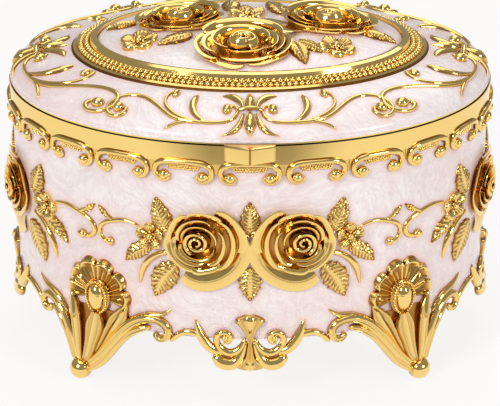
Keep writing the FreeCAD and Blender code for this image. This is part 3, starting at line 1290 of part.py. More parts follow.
make_body()
make_tray()
make_dancer()
make_movement()
make_key()
make_stop()
make_lid()
make_hinge()
doc.recompute()
wall_block = doc.getObject("wall_outer").Shape
make_frieze()
make_sprays(wall_block)
make_feet(wall_block)
make_aprons(wall_block)
make_vines()
make_lid_roses()
doc.recompute()
check_and_write()
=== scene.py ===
"""The looks of an oval ballerina jewellery box, laid out as an add-on and run as a script."""
import json
import math
from types import SimpleNamespace

import bpy
import numpy as np
from bpy.props import FloatProperty, FloatVectorProperty, IntProperty, PointerProperty
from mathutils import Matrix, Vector
from mathutils.kdtree import KDTree

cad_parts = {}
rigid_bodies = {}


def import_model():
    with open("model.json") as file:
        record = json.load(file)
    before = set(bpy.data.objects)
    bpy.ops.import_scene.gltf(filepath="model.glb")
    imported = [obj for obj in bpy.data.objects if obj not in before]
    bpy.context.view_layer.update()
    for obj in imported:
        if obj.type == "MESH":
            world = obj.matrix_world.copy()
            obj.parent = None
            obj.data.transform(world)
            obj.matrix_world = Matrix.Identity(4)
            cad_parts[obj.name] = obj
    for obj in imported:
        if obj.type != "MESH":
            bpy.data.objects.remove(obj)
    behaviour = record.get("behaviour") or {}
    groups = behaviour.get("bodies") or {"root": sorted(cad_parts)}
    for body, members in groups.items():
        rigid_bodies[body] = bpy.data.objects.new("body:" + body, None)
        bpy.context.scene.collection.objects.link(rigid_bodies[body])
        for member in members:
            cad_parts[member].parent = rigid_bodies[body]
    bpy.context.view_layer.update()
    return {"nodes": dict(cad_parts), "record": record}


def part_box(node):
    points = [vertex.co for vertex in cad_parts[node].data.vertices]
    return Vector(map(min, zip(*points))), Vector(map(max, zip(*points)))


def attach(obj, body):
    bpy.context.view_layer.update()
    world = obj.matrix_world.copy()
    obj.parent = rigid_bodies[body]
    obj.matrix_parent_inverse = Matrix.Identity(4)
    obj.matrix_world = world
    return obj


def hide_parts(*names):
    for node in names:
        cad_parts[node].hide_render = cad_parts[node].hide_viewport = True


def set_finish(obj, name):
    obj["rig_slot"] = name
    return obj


bl_info = {
    "name": "Ballerina jewellery box",
    "version": (1, 0, 0),
    "blender": (4, 5, 0),
    "location": "View3D > Sidebar > Jewellery Box",
    "description": "Enamel, cast ornament, tray, dancer and movement of an oval jewellery box",
    "category": "Object",
}

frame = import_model()
MM = 0.001
TURN = 2 * math.pi
# The angles from the top between which rounded forms have their rows.
POLES = (0.02, math.pi - 0.02)


def length(name, description, default):
    """A length in metres that a user may change."""
    return FloatProperty(name=name, description=description, default=default, unit="LENGTH", precision=5)


def colour(name, description, default):
    """A colour that a user may change."""
    return FloatVectorProperty(name=name, description=description, default=default, subtype="COLOR", size=3,
                               min=0, max=1)


class BoxSizes(bpy.types.PropertyGroup):
    """The oval and the levels that the ornament is laid on"""
    half_width: length("Half width", "Half the width of the body wall", 0.070)
    half_depth: length("Half depth", "Half the depth of the body wall", 0.056)
    skirt: length("Bottom edge", "Bottom edge of the body wall above the table", 0.021)
    band_bottom: length("Band", "Bottom of the gold band", 0.0745)
    slope_bottom: length("Slope foot", "Bottom of the lid slope", 0.0813)
    slope_rise: length("Slope rise", "Height of the lid slope", 0.0071)
    ring_inset: length("Frame inset", "Bead frame in from the wall", 0.0186)
    panel_inset: length("Panel inset", "Panel in from the wall", 0.0254)
    panel_base: length("Panel foot", "Foot of the panel's dome", 0.0902)
    panel_crown: length("Panel crown", "Rise of the panel's dome", 0.0045)
    stage_top: length("Stage", "Top of the turning stage", 0.0493)
    dancer: length("Dancer", "Height of the dancer", 0.033)


class OrnamentSizes(bpy.types.PropertyGroup):
    """Sizes of the cast ornament"""
    rose: length("Rose", "Radius of the roses on the body", 0.0113)
    rose_height: length("Rose height", "Height of those roses", 0.0047)
    lid_rose: length("Lid rose", "Radius of the front rose on the lid", 0.0132)
    lid_rose_height: length("Lid rose height", "Height of the lid's roses", 0.0044)
    flower: length("Flower", "Radius of the small flowers", 0.0042)
    flower_height: length("Flower height", "Height of the small flowers", 0.0018)
    bead: length("Bead", "Radius of the beads in the lid's frame", 0.00086)
    edge_bead: length("Edge bead", "Radius of the beads under the arches", 0.00038)
    arches: IntProperty(name="Arches", description="Arches of the frieze", default=24, min=8)


class Finishes(bpy.types.PropertyGroup):
    """Colours of the finishes"""
    gold: colour("Gold", "Polished gold plate", (0.95, 0.68, 0.23))
    # Painted shade: the colour of the gold in creases, hollows and undersides.
    gold_painted_shade: colour("Deep gold", "Gold plate in the recesses", (0.36, 0.135, 0.015))
    enamel: colour("Enamel", "Pearl enamel", (0.87, 0.75, 0.75))
    enamel_light: colour("Light enamel", "Bright strokes of the enamel", (0.97, 0.91, 0.90))
    # Used for the enamel's own warm patches, and near the gold for pooled enamel with a painted glow.
    enamel_pink: colour("Pink enamel", "Warm patches of the enamel", (0.93, 0.66, 0.62))
    flock: colour("Flock", "Rose flock of the tray and lining", (0.52, 0.13, 0.22))
    net: colour("Net", "Net of the skirt", (0.90, 0.62, 0.72))


class Studio(bpy.types.PropertyGroup):
    """Camera and light"""
    lens: FloatProperty(name="Lens", description="Focal length in millimetres", default=143.64)
    elevation: FloatProperty(name="Elevation", description="Camera above the horizon",
                             default=math.radians(23.5), subtype="ANGLE")
    distance: length("Distance", "Camera from the middle of the body", 0.600)
    aim: length("Aim", "Height that the camera looks at", 0.050)
    shift: FloatProperty(name="Shift", description="Vertical lens shift", default=-0.076)


def lengths(group):
    """The numbers of a property group, lengths in millimetres."""
    rows = {}
    for key, prop in group.bl_rna.properties.items():
        if prop.type in ("FLOAT", "INT"):
            value = getattr(group, key)
            rows[key] = value / MM if prop.unit == "LENGTH" else value
    return SimpleNamespace(**rows)


# Surfaces that ornament lies on: each maps along, up and lift to a place, in millimetres.
class Oval:
    """Distances along the body's oval, from one of its axes."""

    def __init__(self, sizes, axis=0.0, stretch=1.0):
        self.sizes = sizes
        self.stretch = stretch
        steps = np.linspace(-TURN, TURN, 4001)
        speed = np.hypot(sizes.half_width * np.sin(steps), sizes.half_depth * np.cos(steps))
        run = np.concatenate([[0], np.cumsum((speed[1:] + speed[:-1]) / 2 * np.diff(steps))])
        self.steps, self.run = steps, run
        self.start = np.interp(math.radians(axis - 90), steps, run)

    def turn(self, along):
        """The oval's angle at a distance along it."""
        return np.interp(self.start + np.asarray(along, float) * self.stretch, self.run, self.steps)

    def outward(self, turn):
        """The direction out of the oval at an angle: across and behind."""
        across, behind = np.cos(turn) / self.sizes.half_width, np.sin(turn) / self.sizes.half_depth
        size = np.hypot(across, behind)
        return across / size, behind / size


class Wall(Oval):
    """The body wall."""

    def place(self, along, up, lift):
        turn = self.turn(along)
        across, behind = self.outward(turn)
        return np.stack([self.sizes.half_width * np.cos(turn) + across * lift,
                         self.sizes.half_depth * np.sin(turn) + behind * lift, up + 0 * lift], -1)


class Slope(Oval):
    """The lid slope; up is measured along it from the lip."""
    end = math.radians(75)

    def profile(self, up):
        """Inset and height at a distance up the slope, and the two parts of its normal."""
        angle = self.end * np.asarray(up, float) / math.hypot(self.sizes.ring_inset, self.sizes.slope_rise)
        inset = self.sizes.ring_inset * (1 - np.cos(angle)) / (1 - math.cos(self.end))
        height = self.sizes.slope_bottom + self.sizes.slope_rise * np.sin(angle) / math.sin(self.end)
        inward = self.sizes.ring_inset * np.sin(angle) / (1 - math.cos(self.end))
        rise = self.sizes.slope_rise * np.cos(angle) / math.sin(self.end)
        size = np.hypot(inward, rise)
        return inset, height, rise / size, inward / size

    def place(self, along, up, lift):
        turn = self.turn(along)
        across, behind = self.outward(turn)
        inset, height, out, high = self.profile(up)
        return np.stack([(self.sizes.half_width - inset) * np.cos(turn) + across * out * lift,
                         (self.sizes.half_depth - inset) * np.sin(turn) + behind * out * lift,
                         height + high * lift], -1)


class Dome:
    """The lid panel; along is across it and up is to the rear."""

    def __init__(self, sizes):
        self.sizes = sizes

    def place(self, along, up, lift):
        wide = self.sizes.half_width - self.sizes.panel_inset
        deep = self.sizes.half_depth - self.sizes.panel_inset
        rest = np.clip(1 - (along / wide) ** 2 - (up / deep) ** 2, 0, 1)
        height = self.sizes.panel_base + self.sizes.panel_crown * np.sqrt(rest) + lift
        return np.stack([along + 0 * height, up + 0 * height, height], -1)


class Flat:
    """Plain room, for pieces that are given as places."""

    def place(self, along, up, lift):
        return np.stack(np.broadcast_arrays(along, up, lift), -1)


# Meshes.
class Casting:
    """Closed shells gathered into one piece, with how darkly each point is painted in shade, in creases,
    hollows and undersides.
    """

    def __init__(self):
        self.points, self.recess, self.faces = [], [], []
        self.count = 0

    def shell(self, surface, along, up, lift, recess=0.0, side=1, loop=False):
        """Add rings, row by row; a loop joins its last row to its first, others get caps."""
        along, up, lift, recess = np.broadcast_arrays(along, up, lift, recess)
        rows, cols = along.shape
        spots = surface.place(side * along, up, lift).reshape(-1, 3)
        row = np.arange(rows if loop else rows - 1)[:, None]
        col = np.arange(cols)[None, :]
        here, ahead, after = row * cols, (row + 1) % rows * cols, (col + 1) % cols
        quads = np.stack([here + col, here + after, ahead + after, ahead + col], -1).reshape(-1, 4)
        ends = [] if loop else [list(range(cols))[::-1], list(range((rows - 1) * cols, rows * cols))]
        caps = [face for ring in ends for face in self.fill(ring)]
        if self.volume(spots, quads, caps) < 0:
            quads = quads[:, ::-1]
            caps = [cap[::-1] for cap in caps]
        self.points.append(spots)
        self.recess.append(recess.reshape(-1))
        self.faces += (quads + self.count).tolist()
        self.faces += [[index + self.count for index in cap] for cap in caps]
        self.count += len(spots)

    @staticmethod
    def fill(ring):
        """Faces that close a ring by joining its two sides."""
        last = len(ring) - 1
        strips = [[ring[i], ring[i + 1], ring[last - 1 - i], ring[last - i]] for i in range(last // 2)]
        return [list(dict.fromkeys(strip)) for strip in strips]

    @staticmethod
    def volume(spots, quads, caps):
        """Six times the room inside the faces, less than nothing where they face inward."""
        middle = spots.mean(0)
        first, second, third, fourth = (spots[quads[:, i]] - middle for i in range(4))
        halves = ((second, third), (third, fourth))
        total = sum(np.einsum("ij,ij->", first, np.cross(*half)) for half in halves)
        for cap in caps:
            ring = spots[cap] - middle
            total += np.einsum("ij,j->", np.cross(ring[1:-1], ring[2:]), ring[0])
        return total

    def piece(self, name, finish, body, slot, *nodes, sharp=60):
        """Make the piece, let it ride on its body and stand for CAD nodes."""
        mesh = bpy.data.meshes.new(name)
        points = np.concatenate(self.points) * MM
        mesh.from_pydata(points.tolist(), [], self.faces)
        # Each point's painted shade is kept as an attribute that darkens the gold.
        mark = mesh.attributes.new("recess", "FLOAT", "POINT")
        mark.data.foreach_set("value", np.concatenate(self.recess).astype(np.float32))
        return settle(mesh, name, finish, body, slot, *nodes, sharp=sharp)

    def gild(self, name, body, *nodes, sharp=60):
        """Make a piece of polished gold."""
        return self.piece(name, STORE["polished_gold"], body, "polished_gold", *nodes, sharp=sharp)


def settle(mesh, name, finish, body, slot, *nodes, sharp=60):
    """Put a finished mesh into the scene on its CAD body."""
    mesh.validate()
    mesh.shade_smooth()
    mesh.set_sharp_from_angle(angle=math.radians(sharp))
    mesh.materials.clear()
    mesh.materials.append(finish)
    thing = bpy.data.objects.new(name, mesh)
    bpy.context.scene.collection.objects.link(thing)
    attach(thing, body)
    if nodes:
        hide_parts(*nodes)
    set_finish(thing, slot)
    return thing


def smooth(rows, per, axes=2):
    """A smooth curve through rows of numbers, of which the first two or three are a place."""
    rows = np.array(rows, float)
    marks = np.concatenate([[0], np.cumsum(np.linalg.norm(np.diff(rows[:, :axes], axis=0), axis=1))])
    count = len(rows)
    gaps = np.diff(marks)
    system, target = np.eye(count), np.zeros_like(rows)
    for i in range(1, count - 1):
        system[i, i - 1:i + 2] = gaps[i - 1], 2 * (gaps[i - 1] + gaps[i]), gaps[i]
        target[i] = 6 * ((rows[i + 1] - rows[i]) / gaps[i] - (rows[i] - rows[i - 1]) / gaps[i - 1])
    bend = np.linalg.solve(system, target)
    parts = []
    for i in range(count - 1):
        share = np.linspace(0, 1, per, endpoint=i == count - 2)[:, None]
        rest, gap = 1 - share, gaps[i]
        parts.append(rest * rows[i] + share * rows[i + 1]
                     + gap ** 2 / 6 * ((rest ** 3 - rest) * bend[i] + (share ** 3 - share) * bend[i + 1]))
    return np.concatenate(parts)


def sideways(path):
    """The direction across a path at each of its points."""
    ahead = np.gradient(path[:, :2], axis=0)
    ahead /= np.linalg.norm(ahead, axis=1)[:, None] + 1e-9
    return np.stack([-ahead[:, 1], ahead[:, 0]], -1)


def lay(casting, surface, path, across, lift, recess, side=1):
    """Add rows whose points lie across a path."""
    aside = sideways(path)
    along, up = (path[:, i:i + 1] + aside[:, i:i + 1] * across for i in (0, 1))
    casting.shell(surface, along, up, lift, recess, side)


def stem(casting, surface, rows, per=6, side=1, groove=0.0, rise=1.25):
    """A scroll stem: rows are along, up, half width and lift; a groove runs down its back, and the groove,
    flanks and underside are painted in shade.
    """
    sides, thinnest, end_share, groove_width, under = 16, 0.08, 0.45, 0.28, 0.6
    path = smooth([(*row, 0.0)[:4] for row in rows], per)
    turn = np.linspace(0, TURN, sides, endpoint=False)[None, :]
    ends = np.minimum(np.arange(len(path)), np.arange(len(path))[::-1])
    half = np.maximum(path[:, 2:3], thinnest) * np.where(ends < 1, end_share, 1.0)[:, None]
    dip = groove * np.exp(-(np.cos(turn) / groove_width) ** 2) * (np.sin(turn) > 0)
    lift = path[:, 3:4] + half * (np.where(np.sin(turn) > 0, rise, under) * np.sin(turn) - dip)
    # Painted shade: darker on the flanks and underside, and in the groove.
    painted_flank_shade = np.clip(0.9 - 1.6 * np.sin(turn), 0, 0.9)
    lay(casting, surface, path, half * np.cos(turn), lift, np.maximum(0.8 * dip, painted_flank_shade) + 0 * half, side)


def folded(*pairs):
    """Upper and under sheets joined side by side, so that each row is a ring."""
    return [np.concatenate(pair, 1) for pair in pairs]


def rounded(casting, surface, middle, radii, grid, ends=POLES, deep=0.0, side=1):
    """A rounded form about a middle: rows between two angles from its top, and columns round it."""
    polar = np.linspace(*ends, grid[0])[:, None]
    turn = np.linspace(0, TURN, grid[1], endpoint=False)[None, :]
    along = middle[0] + radii[0] * np.sin(polar) * np.cos(turn)
    up = middle[1] + radii[1] * np.sin(polar) * np.sin(turn)
    # deep is how darkly the form is painted in shade.
    casting.shell(surface, along, up, middle[2] + radii[2] * np.cos(polar), deep, side)


def ball(casting, surface, along, up, radius, lift=0.0, side=1):
    """A ball on a surface, with painted shade darkening it towards its foot."""
    rows, cols = 12, 18
    deep = np.clip(0.5 - 1.4 * np.cos(np.linspace(*POLES, rows)), 0, 0.9)[:, None]
    rounded(casting, surface, (along, up, lift), (radius,) * 3, (rows, cols), deep=deep, side=side)


def curl(centre, start, turns, radius, half, close, lift):
    """Rows of a curl that winds in from an angle in degrees."""
    rows = []
    for share in np.linspace(0, 1, 9):
        angle = math.radians(start) + TURN * turns * share
        reach = radius * (1 - close * share)
        along, up = centre[0] + reach * math.cos(angle), centre[1] + reach * math.sin(angle)
        rows.append((along, up, half * (1 - 0.25 * share), lift))
    return rows


def blade(casting, surface, rows, cross, side=1, sunk=0.7, recess=None):
    """A flat form along a path: rows are along, up, half width, height and lift; cross gives its section, and
    the last argument how dark its hollows are painted in shade.
    """
    path = smooth([(*row, 0.0)[:5] for row in rows], 7)
    line = np.linspace(-1, 1, 13)[None, :]
    half, height, base = (np.maximum(path[:, i:i + 1], low) for i, low in ((2, 0.05), (3, 0.05), (4, -9)))
    # Painted shade: darker in the section's hollows and towards its edges.
    depth = np.maximum(recess(line) if recess else 0.0, 0.85 * np.abs(line) ** 6) + 0 * half
    top, under = base + height * cross(line), base - sunk + 0 * line
    sheets = folded((half * line, half * line[:, ::-1]), (top, under), (depth, depth))
    lay(casting, surface, path, *sheets, side)


def crown(line):
    """A section that is highest in the middle."""
    return np.sqrt(np.clip(1 - line ** 2, 0, 1)) * 0.9 + 0.1


def ridge(line):
    """A section with a crest and two hollows beside it."""
    return 0.45 + 0.55 * np.exp(-(line / 0.22) ** 2) + 0.28 * np.abs(line) ** 2.5 - 0.5 * np.abs(line) ** 12


def hollows(line):
    """How darkly the two hollows of a ridge are painted in shade."""
    return 0.5 * np.exp(-((np.abs(line) - 0.5) / 0.2) ** 2)


def leaf(casting, surface, base, tip, half, side=1, bend=0.0, thick=1.25, teeth=5):
    """A toothed leaf with a midrib and side veins, painted in shade between the veins and at its edges."""
    notch, rib, rib_width, vein_height, edge, sunk = 0.22, 0.30, 0.10, 0.24, 0.85, 0.6
    run = np.array(tip, float) - np.array(base, float)
    size = np.linalg.norm(run)
    share = np.linspace(0, 1, 40)[:, None]
    over = np.array([-run[1], run[0]]) / size
    path = np.array(base) + run * share + over * bend * size * np.sin(math.pi * share)
    line = np.linspace(-1, 1, 17)[None, :]
    wave = (teeth * share + 0.15) % 1
    outline = half * np.sin(math.pi * share ** 0.78) ** 0.8 * (1 - notch * wave * (share > 0.12)) + 0.12
    body = 0.4 + 0.6 * np.sin(math.pi * np.clip(share * 0.9 + 0.08, 0, 1))
    vein = np.cos(TURN * 2 * teeth * (share - 0.16 * np.abs(line))) * np.clip(np.abs(line) * 4 - 0.3, 0, 1)
    lobe = 0.62 + 0.38 * np.sqrt(np.clip(1 - line ** 2, 0, 1)) + rib * np.exp(-(line / rib_width) ** 2)
    top = thick * body * lobe * 0.8 + vein_height * vein * np.clip(1 - line ** 6, 0, 1) + 0.05
    # Painted shade: darker in the furrows between the veins and towards the edges.
    painted_furrow_shade = np.clip(0.2 - 0.8 * vein, 0, 1) * np.clip(np.abs(line) * 4, 0, 1)
    deep = np.maximum(painted_furrow_shade, edge * np.abs(line) ** 8)
    sheets = folded((outline * line, outline * line[:, ::-1]), (top, -sunk + 0 * top), (deep, deep))
    lay(casting, surface, path, *sheets, side)


# A small flower from its edge to its middle: radius and height as shares.
FLOWER_SECTION = ((0.96, -0.5), (1.0, 0.35), (0.97, 0.72), (0.86, 0.86), (0.7, 0.74), (0.52, 0.55),
                  (0.36, 0.40), (0.24, 0.34), (0.05, 0.34))


def flower(casting, surface, along, up, sizes, side=1, turn=0.0, grow=1.0):
    """A small flower of five cupped petals round a button of beads, painted in shade between the petals."""
    size, lines, line_height, beads = grow * sizes.flower, 25, 0.10, 8
    angle = np.linspace(0, TURN, 180, endpoint=False)[None, :]
    reach, rise = np.array(FLOWER_SECTION).T[:, :, None]
    petal = np.abs(np.cos(2.5 * (angle - turn)))
    outline = 1 - (1 - (0.66 + 0.34 * petal ** 0.5)) * np.clip(reach * 1.6 - 0.5, 0, 1)
    radius = size * reach * outline
    line = np.cos(lines * (angle - turn)) * np.clip(1 - np.abs(reach - 0.55) * 2.4, 0, 1)
    height = sizes.flower_height * (rise * (0.72 + 0.4 * petal) + line_height * line)
    # Painted shade: darker between the petals and in the grooves of the lines.
    deep = np.maximum(np.clip(1.1 - petal * 1.3, 0, 1) * (reach < 0.9), np.clip(-0.8 * line, 0, 1))
    casting.shell(surface, along + radius * np.cos(angle), up + radius * np.sin(angle), height, deep, side)
    heart = 0.22 * size
    ball(casting, surface, along, up, heart, 0.5 * sizes.flower_height, side)
    for spot in np.linspace(0, TURN, beads, endpoint=False):
        ball(casting, surface, along + 1.5 * heart * math.cos(spot), up + 1.5 * heart * math.sin(spot),
             0.36 * heart, 0.52 * sizes.flower_height, side)


# Petals of a rose, outermost first: angle from outward in degrees, half spread, foot radius and height, lip
# radius and height, roll; radii are shares of the rose, angles turn from outward to up.
ROSE_PETALS = (
    (234, 1.1, 0.74, -0.05, 1.2, 0.26, 0.11), (153, 0.70, 0.70, 0.0, 1.04, 0.44, 0.09),
    (-38, 0.92, 0.60, 0.0, 0.81, 0.50, 0.08), (30, 0.62, 0.60, 0.0, 0.79, 0.50, 0.07),
    (97, 0.66, 0.58, 0.0, 0.77, 0.54, 0.07), (182, 0.98, 0.63, 0.0, 0.83, 0.64, 0.07),
    (-102, 0.52, 0.60, 0.0, 0.79, 0.54, 0.07), (-44, 1.0, 0.45, 0.0, 0.61, 0.72, 0.06),
    (196, 0.9, 0.47, 0.0, 0.63, 0.82, 0.06), (62, 1.0, 0.43, 0.0, 0.57, 0.74, 0.055),
    (-84, 1.35, 0.34, 0.1, 0.45, 0.88, 0.045), (96, 1.5, 0.33, 0.1, 0.43, 0.9, 0.045))
# The bed under a rose, painted dark as shade: radius and height as shares.
ROSE_SHADE_BED = ((0.74, -0.2), (0.76, 0.02), (0.6, 0.06), (0.4, 0.12), (0.05, 0.16))
# An open rose of the lid, seen from the front: the same as the petals, angles from the right to the rear.
OPEN_PETALS = (
    (80, 1.15, 0.84, -0.1, 1.04, 1.0, 0.06), (186, 0.80, 0.80, -0.1, 1.02, 0.66, 0.06),
    (172, 0.85, 0.64, 0.0, 0.84, 0.74, 0.05), (-8, 0.8, 0.84, -0.1, 1.04, 0.60, 0.06),
    (-2, 0.8, 0.72, -0.05, 0.90, 0.66, 0.05), (6, 0.8, 0.6, 0.0, 0.76, 0.74, 0.045),
    (232, 0.62, 0.74, -0.15, 1.0, 0.34, 0.08), (308, 0.62, 0.74, -0.15, 1.0, 0.34, 0.08),
    (270, 0.75, 0.58, -0.1, 0.84, 0.44, 0.08), (110, 2.2, 0.46, 0.05, 0.62, 0.98, 0.045),
    (280, 0.95, 0.42, 0.05, 0.56, 0.60, 0.05))


def petal(place, scale, turn, half, foot, low, lip, high, roll):
    """One petal: a cupped sheet from its foot to a rolled lip; place maps radius, angle and height."""
    roll_start, thick, dark = 0.62, 0.065, 0.52
    share = np.linspace(0, 1, 18)[:, None]
    line = np.linspace(-1, 1, 17)[None, :]
    edge = 1 - 0.13 * line ** 4 - 0.03 * np.cos(3 * line)
    radius = (foot + (lip * edge - foot) * share ** 0.85) * (1 + 0.05 * line * share)
    height = low + (high * (1 - 0.16 * line ** 2) - low) * np.sin(math.pi / 2 * share)
    bend = np.clip((share - roll_start) / (1 - roll_start), 0, 1) * math.pi / 2
    radius = radius + roll * np.sin(bend) * (1 - 0.4 * line ** 2)
    height = height - 1.1 * roll * (1 - np.cos(bend)) * (scale[1] / scale[0])
    along, rise = np.gradient(radius, axis=0) * scale[0], np.gradient(height, axis=0) * scale[1]
    size = np.hypot(along, rise) + 1e-9
    taper = thick * scale[0] * np.sqrt(np.clip(1.0 - 0.9 * share ** 5, 0.04, 1))
    taper = taper * np.sqrt(np.clip(1.02 - line ** 6, 0.05, 1))
    outer, under = radius + rise / size * taper / scale[0], height - along / size * taper / scale[1]
    angle = turn + half * line + 0 * radius
    # Painted shade: darker towards the petal's foot, a little lighter on its underside.
    deep = dark * np.clip(1.05 - 1.25 * share, 0, 1) + 0 * line
    sheets = ((radius, outer[:, ::-1]), (angle, angle[:, ::-1]), (height, under[:, ::-1]), (deep, 0.8 * deep))
    place(*folded(*sheets))


def rose(casting, surface, along, up, radius, height, lean, side=1, first=0.0, petals=ROSE_PETALS,
         bud=(0.29, 0.97, 0.0), squeeze=1.0):
    """A full rose: rows of rolled petals round a wound bud, given as its radius, height and swell."""
    def place(reach, angle, rise, recess):
        across = radius * (reach * np.cos(angle) + lean[0] * rise)
        above = radius * squeeze * (reach * np.sin(angle) + lean[1] * rise)
        casting.shell(surface, along + across, up + above, height * rise, recess, side)

    angle = np.linspace(0, TURN, 40, endpoint=False)[None, :]
    bed, low = np.hsplit(np.array(ROSE_SHADE_BED), 2)
    # The bed under the petals is painted dark as shade.
    place(bed + 0 * angle, angle, low + 0 * angle, 0.8 + 0 * bed * angle)
    for turn, *form in petals:
        petal(place, (radius, height), math.radians(turn) + first, *form)
    wind(place, first, *bud)


def wind(place, first, reach, tip, swell):
    """The wound bud in the middle of a rose."""
    turns, inner, thick = 1.9, 0.05, 0.145
    share = np.linspace(0, 1, 90)[:, None]
    angle = first - 1.2 + TURN * turns * share
    middle = reach - (reach - inner) * share
    wall = thick * reach * (1 - 0.3 * share)
    top = tip + 0.06 * share - 0.04 * np.cos(2 * angle)
    foot = 1 + 2.6 * swell
    section = np.array([(-1, -1), (-1, 0.84), (-0.6, 0.96), (0.2, 1.0), (1.0, 0.97),
                        (1.3 + 0.4 * swell, 0.88), (1 + 1.7 * swell, 0.72), (foot, 0.5), (foot, -1)])
    radius = middle + wall * section[None, :, 0]
    height = np.where(section[None, :, 1] < 0, 0.3, top * section[None, :, 1])
    # Painted shade: the bud darker towards its foot.
    place(radius, angle + 0 * radius, height, np.clip(0.75 - section[None, :, 1], 0.0, 0.7) + 0 * radius)


# Beads: a tree that strings small balls along lines.
def bead_tree(finish):
    """Geometry nodes that string beads along the edges of a mesh."""
    tree = bpy.data.node_groups.new("bead_string", "GeometryNodeTree")
    tree.interface.new_socket(name="Lines", in_out="INPUT", socket_type="NodeSocketGeometry")
    spacing = tree.interface.new_socket(name="Spacing", in_out="INPUT", socket_type="NodeSocketFloat")
    radius = tree.interface.new_socket(name="Radius", in_out="INPUT", socket_type="NodeSocketFloat")
    tree.interface.new_socket(name="Beads", in_out="OUTPUT", socket_type="NodeSocketGeometry")
    kinds = ("NodeGroupInput", "GeometryNodeMeshToCurve", "GeometryNodeResampleCurve",
             "GeometryNodeMeshIcoSphere", "GeometryNodeInstanceOnPoints", "GeometryNodeRealizeInstances",
             "GeometryNodeSetShadeSmooth", "GeometryNodeSetMaterial", "NodeGroupOutput")
    nodes = (tree.nodes.new(kind) for kind in kinds)
    source, curve, spread, sphere, string, solid, shade, paint, result = nodes
    spread.mode = "LENGTH"
    sphere.inputs["Subdivisions"].default_value = 2
    paint.inputs["Material"].default_value = finish
    links = ((source, "Lines", curve, "Mesh"), (curve, "Curve", spread, "Curve"),
             (source, "Spacing", spread, "Length"), (source, "Radius", sphere, "Radius"),
             (spread, "Curve", string, "Points"), (sphere, "Mesh", string, "Instance"),
             (string, "Instances", solid, "Geometry"), (solid, "Geometry", shade, "Geometry"),
             (shade, "Geometry", paint, "Geometry"), (paint, "Geometry", result, "Beads"))
    for giver, given, taker, taken in links:
        tree.links.new(giver.outputs[given], taker.inputs[taken])
    return tree, spacing.identifier, radius.identifier


def string_beads(name, lines, spacing, radius, body, slot="polished_gold"):
    """Beads along lines of places in millimetres; a line is closed if its last place is its first."""
    points, edges = [], []
    for line in lines:
        closed = np.allclose(line[0], line[-1])
        kept = line[:-1] if closed else line
        start = len(points)
        points += (kept * MM).tolist()
        edges += [(start + i, start + i + 1) for i in range(len(kept) - 1)]
        if closed:
            edges.append((start + len(kept) - 1, start))
    mesh = bpy.data.meshes.new(name + "_lines")
    mesh.from_pydata(points, edges, [])
    source = bpy.data.objects.new(name + "_lines", mesh)
    bpy.context.scene.collection.objects.link(source)
    tree, spacing_key, radius_key = bead_tree(STORE[slot])
    step = source.modifiers.new("beads", "NODES")
    step.node_group = tree
    step[spacing_key] = spacing * MM
    step[radius_key] = radius * MM
    graph = bpy.context.evaluated_depsgraph_get()
    made = bpy.data.meshes.new_from_object(source.evaluated_get(graph))
    source.modifiers.remove(step)
    bpy.data.objects.remove(source)
    made.name = name
    return settle(made, name, STORE[slot], body, slot, sharp=180)


# Materials.
def both_sides(operation):
    """The two methods of a sign: for a wire before it and for a wire after it."""
    def before(wire, other):
        return wire.math(operation, wire, other)

    def after(wire, other):
        return wire.math(operation, other, wire)

    return before, after


class Wire:
    """A socket that takes part in sums; one method adds any other node."""

    def __init__(self, tree, socket=None):
        self.tree, self.socket = tree, socket

    def add(self, kind, out=0, settings=None, **inputs):
        """Add a node: its settings first, then values or links for its sockets."""
        made = self.tree.nodes.new(kind)
        for key, value in (settings or {}).items():
            if key == "stops":
                for index, (position, shade) in enumerate(value):
                    stops = made.color_ramp.elements
                    stop = stops[index] if index < 2 else stops.new(position)
                    stop.position, stop.color = position, (*shade, 1)
            else:
                setattr(made, key, value)
        for key, value in inputs.items():
            socket = made.inputs[int(key[1:]) if key[1:].isdigit() else key.replace("_", " ")]
            if isinstance(value, Wire):
                self.tree.links.new(value.socket, socket)
            else:
                socket.default_value = value
        return Wire(self.tree, made.outputs[out])

    def math(self, operation, first, second):
        """A sum of two values or links."""
        return self.add("ShaderNodeMath", settings={"operation": operation}, s0=first, s1=second)

    __add__, __radd__ = both_sides("ADD")
    __sub__, __rsub__ = both_sides("SUBTRACT")
    __mul__, __rmul__ = both_sides("MULTIPLY")

    def mix(self, first, second):
        """Two colours mixed by this value."""
        return self.add("ShaderNodeMix", 2, {"data_type": "RGBA"}, s0=self, s6=tint(first), s7=tint(second))

    def noise(self, vector, scale, detail=2.0, rough=0.5):
        """Cloudy noise between 0 and 1."""
        return self.add("ShaderNodeTexNoise", Vector=vector, Scale=scale, Detail=detail, Roughness=rough)

    def ramp(self, *stops):
        """This value sent through stops of position and grey."""
        greys = [(position, (value,) * 3) for position, value in stops]
        return self.add("ShaderNodeValToRGB", settings={"stops": greys}, Fac=self)


def tint(value):
    """A colour with its alpha, or a link as it is."""
    return value if isinstance(value, Wire) else (*value, 1.0)


def finish(name, **constants):
    """A new material: its shader, a wire to draw with and its object coordinates."""
    made = bpy.data.materials.new(name)
    made.use_nodes = True
    shader = made.node_tree.nodes["Principled BSDF"]
    for key, value in constants.items():
        shader.inputs[key.replace("_", " ")].default_value = value
    wire = Wire(made.node_tree)
    return made, shader, wire, wire.add("ShaderNodeTexCoord", "Object")


def feed(shader, **links):
    """Link wires to a shader's sockets."""
    for key, wire in links.items():
        wire.tree.links.new(wire.socket, shader.inputs[key.replace("_", " ")])


def bump(wire, height, strength, distance):
    """A normal from a height."""
    return wire.add("ShaderNodeBump", Height=height, Strength=strength, Distance=distance)


